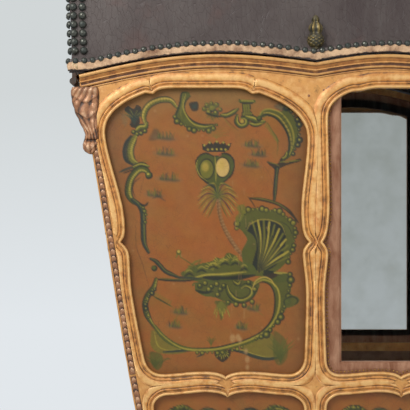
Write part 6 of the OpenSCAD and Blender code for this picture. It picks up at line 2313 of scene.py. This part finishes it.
# Walls under the linings, in metres: the rear one leans, 0.314 wide at its foot, 0.366 at the waist 0.262
# up and 0.467 at its head 0.618 over that; the front one is a rectangle.
LINING_CUTS: dict[bool, tuple[float, float, float | None]] = {
    True: (0.467, 0.880, 0.262 * (0.314 + 0.366) / 2 + 0.618 * (0.366 + 0.467) / 2),
    False: (0.268, 0.640, None)}


@dataclass
class Upholstery(Trim):
    """Seat and back cushions, and the silk lining of the walls."""

    finishes: dict[Finish, bpy.types.Material]
    voxel: float = 0.007
    cap: float = 0.024

    def build(self) -> None:
        """Builds the cushions, their piping and the linings."""
        self.seat()
        self.back()
        self.linings()

    def slab(self, size: Array, power: float = 5.0) -> tuple[Array, Array]:
        """A rounded slab about the origin: a cube-sphere grid pushed out to |x|^p + |y|^p + |z|^p = 1."""
        n = 20
        g = np.linspace(-1, 1, n)
        a, b = np.meshgrid(g, g, indexing="ij")
        one = np.ones_like(a)
        sheets = [np.stack(s, -1) for s in ((a, b, one), (b, a, -one), (one, a, b), (-one, b, a), (b, one,
            a), (a, -one, b))]
        parts = [(s.reshape(-1, 3), grid_faces(n, n)) for s in sheets]
        verts, faces = merged(parts)
        verts = verts / (np.abs(verts) ** power).sum(1, keepdims=True) ** (1 / power)
        return verts * size / 2, faces

    def swell(self, obj: bpy.types.Object, pressure: float) -> None:
        """Blows a closed shape up as cloth for 20 frames, then shortens each move to the cap at most."""
        mod = obj.modifiers.new("voxels", "REMESH")
        mod.mode = "VOXEL"
        mod.voxel_size = self.voxel
        self.apply(obj)
        start = self.points(obj)
        cloth = obj.modifiers.new("cloth", "CLOTH")
        cloth.settings.use_pressure = True
        cloth.settings.uniform_pressure_force = pressure
        cloth.settings.effector_weights.gravity = 0
        cloth.settings.quality = 4
        cloth.settings.tension_stiffness = 12
        cloth.point_cache.frame_start, cloth.point_cache.frame_end = 1, 20
        scene = bpy.context.scene
        for number in range(1, 21):
            scene.frame_set(number)
        self.apply(obj)
        scene.frame_set(1)
        move = self.points(obj) - start
        length = np.linalg.norm(move, axis=1, keepdims=True)
        move *= np.minimum(1, self.cap / np.maximum(length, 1e-9))
        self.points(obj, start + move)

    @staticmethod
    def apply(obj: bpy.types.Object) -> None:
        """Replaces the mesh with what its modifiers make of it."""
        shape = obj.evaluated_get(bpy.context.evaluated_depsgraph_get())
        mesh = bpy.data.meshes.new_from_object(shape)
        obj.modifiers.clear()
        obj.data = mesh

    @staticmethod
    def points(obj: bpy.types.Object, new: Array | None = None) -> Array:
        """Reads a mesh's points in metres, or sets them."""
        co = np.zeros(len(obj.data.vertices) * 3)
        if new is not None:
            obj.data.vertices.foreach_set("co", new.astype(np.float32).ravel())
            obj.data.update()
            return new
        obj.data.vertices.foreach_get("co", co)
        return co.reshape(-1, 3)

    def finish(self, obj: bpy.types.Object, finish: Finish) -> None:
        """Shades, dresses and subdivides a finished cushion."""
        obj.data.polygons.foreach_set("use_smooth", np.ones(len(obj.data.polygons), bool))
        dress(obj, self.finishes[finish])
        sub = obj.modifiers.new("subdivision", "SUBSURF")
        sub.levels = sub.render_levels = 1

    def seat(self) -> None:
        """The seat cushion: a blown-up slab with a crown added along X and a dent in its middle."""
        low, high = (np.array(v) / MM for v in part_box("seat_cushion"))
        size = high - low - np.array([24, 22, 16])
        verts, faces = self.slab(size)
        verts += (low + high) / 2 - np.array([0, 0, 5])
        obj = add_mesh("seat_cushion_velvet", verts * MM, faces, "chair")
        weld(obj)
        self.swell(obj, 4.0)
        p = self.points(obj) / MM
        mid = (low + high) / 2
        top = np.clip((p[:, 2] - mid[2]) / 20, 0, 1)
        p[:, 2] += top * 4 * np.cos(np.clip((p[:, 0] - mid[0]) / 220, -1, 1) * np.pi / 2)
        p[:, 2] -= top * 7 * np.exp(-((p[:, 0] - mid[0] - 10) ** 2 + (p[:, 1] / 1.3) ** 2) / 9000)
        p[:, 2] += top * (0.8 * smooth_noise(p, 160, 61) + 0.3 * smooth_noise(p, 40, 62))
        p = np.clip(p, low + [0.5, -1, 0.3], high + [6, 1, 14])
        self.points(obj, p * MM)
        self.finish(obj, Finish.CUSHION)
        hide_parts("seat_cushion")
        self.piping("seat_piping", obj, [low[2] + 12, high[2] - 9], lambda z: (low[:2] + 4, high[:2] - 4))

    def back(self) -> None:
        """The back cushion: a leaning pad with six buttons pulled in."""
        c = LINES
        low, high = (np.array(v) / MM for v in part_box("back_cushion"))
        verts, faces = self.slab(np.array([44.0, high[1] - low[1] - 20, high[2] - low[2] - 18]), 5.5)
        z = verts[:, 2] + (low[2] + high[2]) / 2
        lean = np.array([c.back_edge(v) for v in z]) + 30 + 27
        verts = np.stack([verts[:, 0] + lean, verts[:, 1], z], 1)
        obj = add_mesh("back_cushion_velvet", verts * MM, faces, "chair")
        weld(obj)
        self.swell(obj, 4.0)
        p = self.points(obj) / MM
        wall = np.array([c.back_edge(v) for v in p[:, 2]]) + 31
        front = np.clip((p[:, 0] - wall - 20) / 14, 0, 1)
        pull = np.zeros(len(p))
        for y in (-190, 0, 190):
            for at in (690, 900):
                gap = np.hypot(p[:, 1] - y, p[:, 2] - at)
                pull += 15 * np.exp(-(gap / 26) ** 2) + 3 * np.exp(-(gap / 80) ** 2)
        p[:, 0] += front * (0.9 * smooth_noise(p, 150, 63) + 0.3 * smooth_noise(p, 38, 64) - pull)
        p[:, 0] = np.clip(p[:, 0], wall + 0.5, wall + 72)
        p[:, 1] = np.clip(p[:, 1], low[1] - 1, high[1] + 1)
        p[:, 2] = np.clip(p[:, 2], 513, high[2] + 12)
        self.points(obj, p * MM)
        self.finish(obj, Finish.CUSHION)
        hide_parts("back_cushion")
        spots = np.array([(c.back_edge(z) + 31 + 33, y, z) for z in (690, 900) for y in (-190, 0, 190)],
                         float)
        parts, ways = self.on_surface(obj, spots + [60, 0, 0])
        verts, faces = dome_row(parts, ways, 9.0, 16)
        self.put("back_buttons", verts * MM, faces, "chair", Finish.CUSHION, "velvet")

    @staticmethod
    def on_surface(obj: bpy.types.Object, spots: Array) -> tuple[Array, Array]:
        """Nearest surface points and normals, in millimetres."""
        got = [obj.closest_point_on_mesh(tuple(p * MM)) for p in spots]
        return np.array([g[1][:] for g in got]) / MM, np.array([g[2][:] for g in got])

    def piping(self, name: str, obj: bpy.types.Object, levels: list[float], span: object) -> None:
        """Cord piping: a tube of radius 3.2 round the cushion at each level, laid on its surface."""
        parts = []
        for z in levels:
            low, high = span(z)
            t = np.linspace(0, 2 * np.pi, 220, endpoint=False)
            cx, cy = (low + high) / 2
            rx, ry = (high - low) / 2
            k = (np.abs(np.cos(t)) ** 8 + np.abs(np.sin(t)) ** 8) ** (-1 / 8)
            spots = np.stack([cx + (rx + 6) * k * np.cos(t), cy + (ry + 6) * k * np.sin(t), np.full_like(t,
                                                                                                         z)], 1)
            spots, _ = self.on_surface(obj, spots)
            for _ in range(3):
                spots = (spots + np.roll(spots, 1, 0) + np.roll(spots, -1, 0)) / 3
            spots[:, :2] = np.clip(spots[:, :2], low - 4.4, high + 4.4)
            parts.append(tube(spots, 3.2, 10, closed=True))
        verts, faces = merged(parts)
        self.put(name, verts * MM, faces[:, ::-1], "chair", Finish.PIPING, "velvet")

    def linings(self) -> None:
        """Quilted silk on the walls: its height is the square root of the product of two slanted sines."""
        c = LINES
        jobs = (
            ("right_rear_lining", PLANES["right"], (-330, 40), (520, 1400), True),
            ("left_rear_lining", PLANES["left"], (-330, 40), (520, 1400), True),
            ("right_front_lining", PLANES["right"], (152, 420), (112, 752), False),
            ("left_front_lining", PLANES["left"], (152, 420), (112, 752), False))
        for name, plane, (x0, x1), (z0, z1), lean in jobs:
            zs = np.arange(z0, z1 + 1, 8.0)
            left = np.array([(c.back_edge(z) + 34 if lean else x0) for z in zs])
            right = np.full_like(zs, x1)
            m = int((x1 - x0) / 8) + 1
            s = np.linspace(0, 1, m)[None]
            xs = left[:, None] + (right - left)[:, None] * s
            zz = np.broadcast_to(zs[:, None], xs.shape)
            quilt = np.abs(np.sin((xs + zz) * np.pi / 90) * np.sin((xs - zz) * np.pi / 90)) ** 0.5
            h = -(c.half_w - c.in_y) - 0.8 - 2.0 * quilt
            verts = plane.place(xs, zz, h).reshape(-1, 3)
            obj = self.put(name, verts, grid_faces(len(zs), m, flip=not plane.turns_right), "chair",
                           Finish.SILK, "velvet")
            set_uv(obj, np.stack([xs.ravel(), zz.ravel()], 1) * MM)
            self.lay(obj, LINING_CUTS[lean], f"{name.split('_')[0]}_stile")
        zs = np.arange(1092, 1440, 8.0)
        ys = np.arange(-296, 297, 8.0)
        yy, zz = np.broadcast_to(ys[None], (len(zs), len(ys))), np.broadcast_to(zs[:, None], (len(zs),
                                                                                              len(ys)))
        quilt = np.abs(np.sin((yy + zz) * np.pi / 90) * np.sin((yy - zz) * np.pi / 90)) ** 0.5
        xx = np.array([c.back_edge(z) for z in zs])[:, None] + 29.5 + 4 * quilt
        verts = np.stack([xx, yy, zz], -1).reshape(-1, 3) * MM
        obj = self.put("back_lining", verts, grid_faces(len(zs), len(ys), flip=True), "chair", Finish.SILK,
                       "velvet")
        set_uv(obj, np.stack([yy.ravel(), zz.ravel()], 1) * MM)
        self.lay(obj, (0.592, 0.353, None), "back_upper_frame")

    @staticmethod
    def lay(obj: bpy.types.Object, cut: tuple[float, float, float | None], under: str) -> None:
        """Takes a quilted lining, its wall's width, length and area, and what it is fixed to, and does nothing with
        them. Each way 2 percent longer for the quilting.

        Args:
            obj: The lining; not used.
            cut: Width and length of the wall in metres, and its area where it isn't a rectangle; not used.
            under: What it is fixed to; not used.
        """


def tube(path: Array, radius: float | Array, sides: int, closed: bool = False) -> tuple[Array, Array]:
    """A round tube along a path in millimetres: circles in the plane across each step."""
    if closed:
        run = np.roll(path, -1, 0) - np.roll(path, 1, 0)
    else:
        run = np.gradient(path, axis=0)
    run /= np.linalg.norm(run, axis=1, keepdims=True)
    side = np.cross(run, np.array([0.013, 0.021, 1.0]))
    side /= np.linalg.norm(side, axis=1, keepdims=True)
    up = np.cross(side, run)
    t = np.linspace(0, 2 * np.pi, sides, endpoint=False)
    r = np.broadcast_to(np.asarray(radius, float), (len(path),))[:, None, None]
    verts = path[:, None] + r * (np.cos(t)[None, :, None] * side[:, None] + np.sin(t)[None, :,
                                                                                      None] * up[:, None])
    return verts.reshape(-1, 3), grid_faces(len(path), sides, wrap_n=closed, wrap_m=True, flip=True)


@dataclass
class PoleFittings(Trim):
    """Brass collars and caps on the carrying poles."""

    finishes: dict[Finish, bpy.types.Material]
    profile: tuple[tuple[float, float], ...] = ((0, 22.2), (1, 23.8), (4, 24.2), (6, 23.6), (10, 23.4),
                                                (13, 24.0),
                                                 (15, 23.6), (17, 21.5), (22, 19.6))

    def build(self) -> None:
        """Turned collars at the grips' roots and domed caps on the ends: circles of the profile's radii."""
        prof = np.array(self.profile)
        cap = np.array([(0, 19.2), (1, 20.6), (5, 20.8), (8, 20.2), (9.5, 17), (10.6, 9), (11, 0.3)])
        for name, y in (("right", -389.0), ("left", 389.0)):
            parts = []
            for way in (-1, 1):
                for at, line in ((1128.0, prof), (1390.0, cap)):
                    xs = way * (at + line[:, 0])
                    path = np.stack([xs, np.full_like(xs, y), np.full_like(xs, 545.0)], 1)
                    verts, faces = tube(path, line[:, 1], 28)
                    parts.append((verts, faces))
            verts, faces = merged(parts)
            obj = self.put(f"{name}_pole_fittings", verts * MM, faces, f"{name}_pole", Finish.BRASS, "brass")
            weld(obj)


def main() -> None:
    """Builds the chair's looks in order."""
    logging.basicConfig(level=logging.INFO, format="%(message)s")
    Studio().build()
    finishes = build_finishes()
    for part in (GiltFrames, PaintedPanels, Roof, Consoles, Sashes, Upholstery, PoleFittings):
        part(finishes).build()


if __name__ == "__main__":
    main()
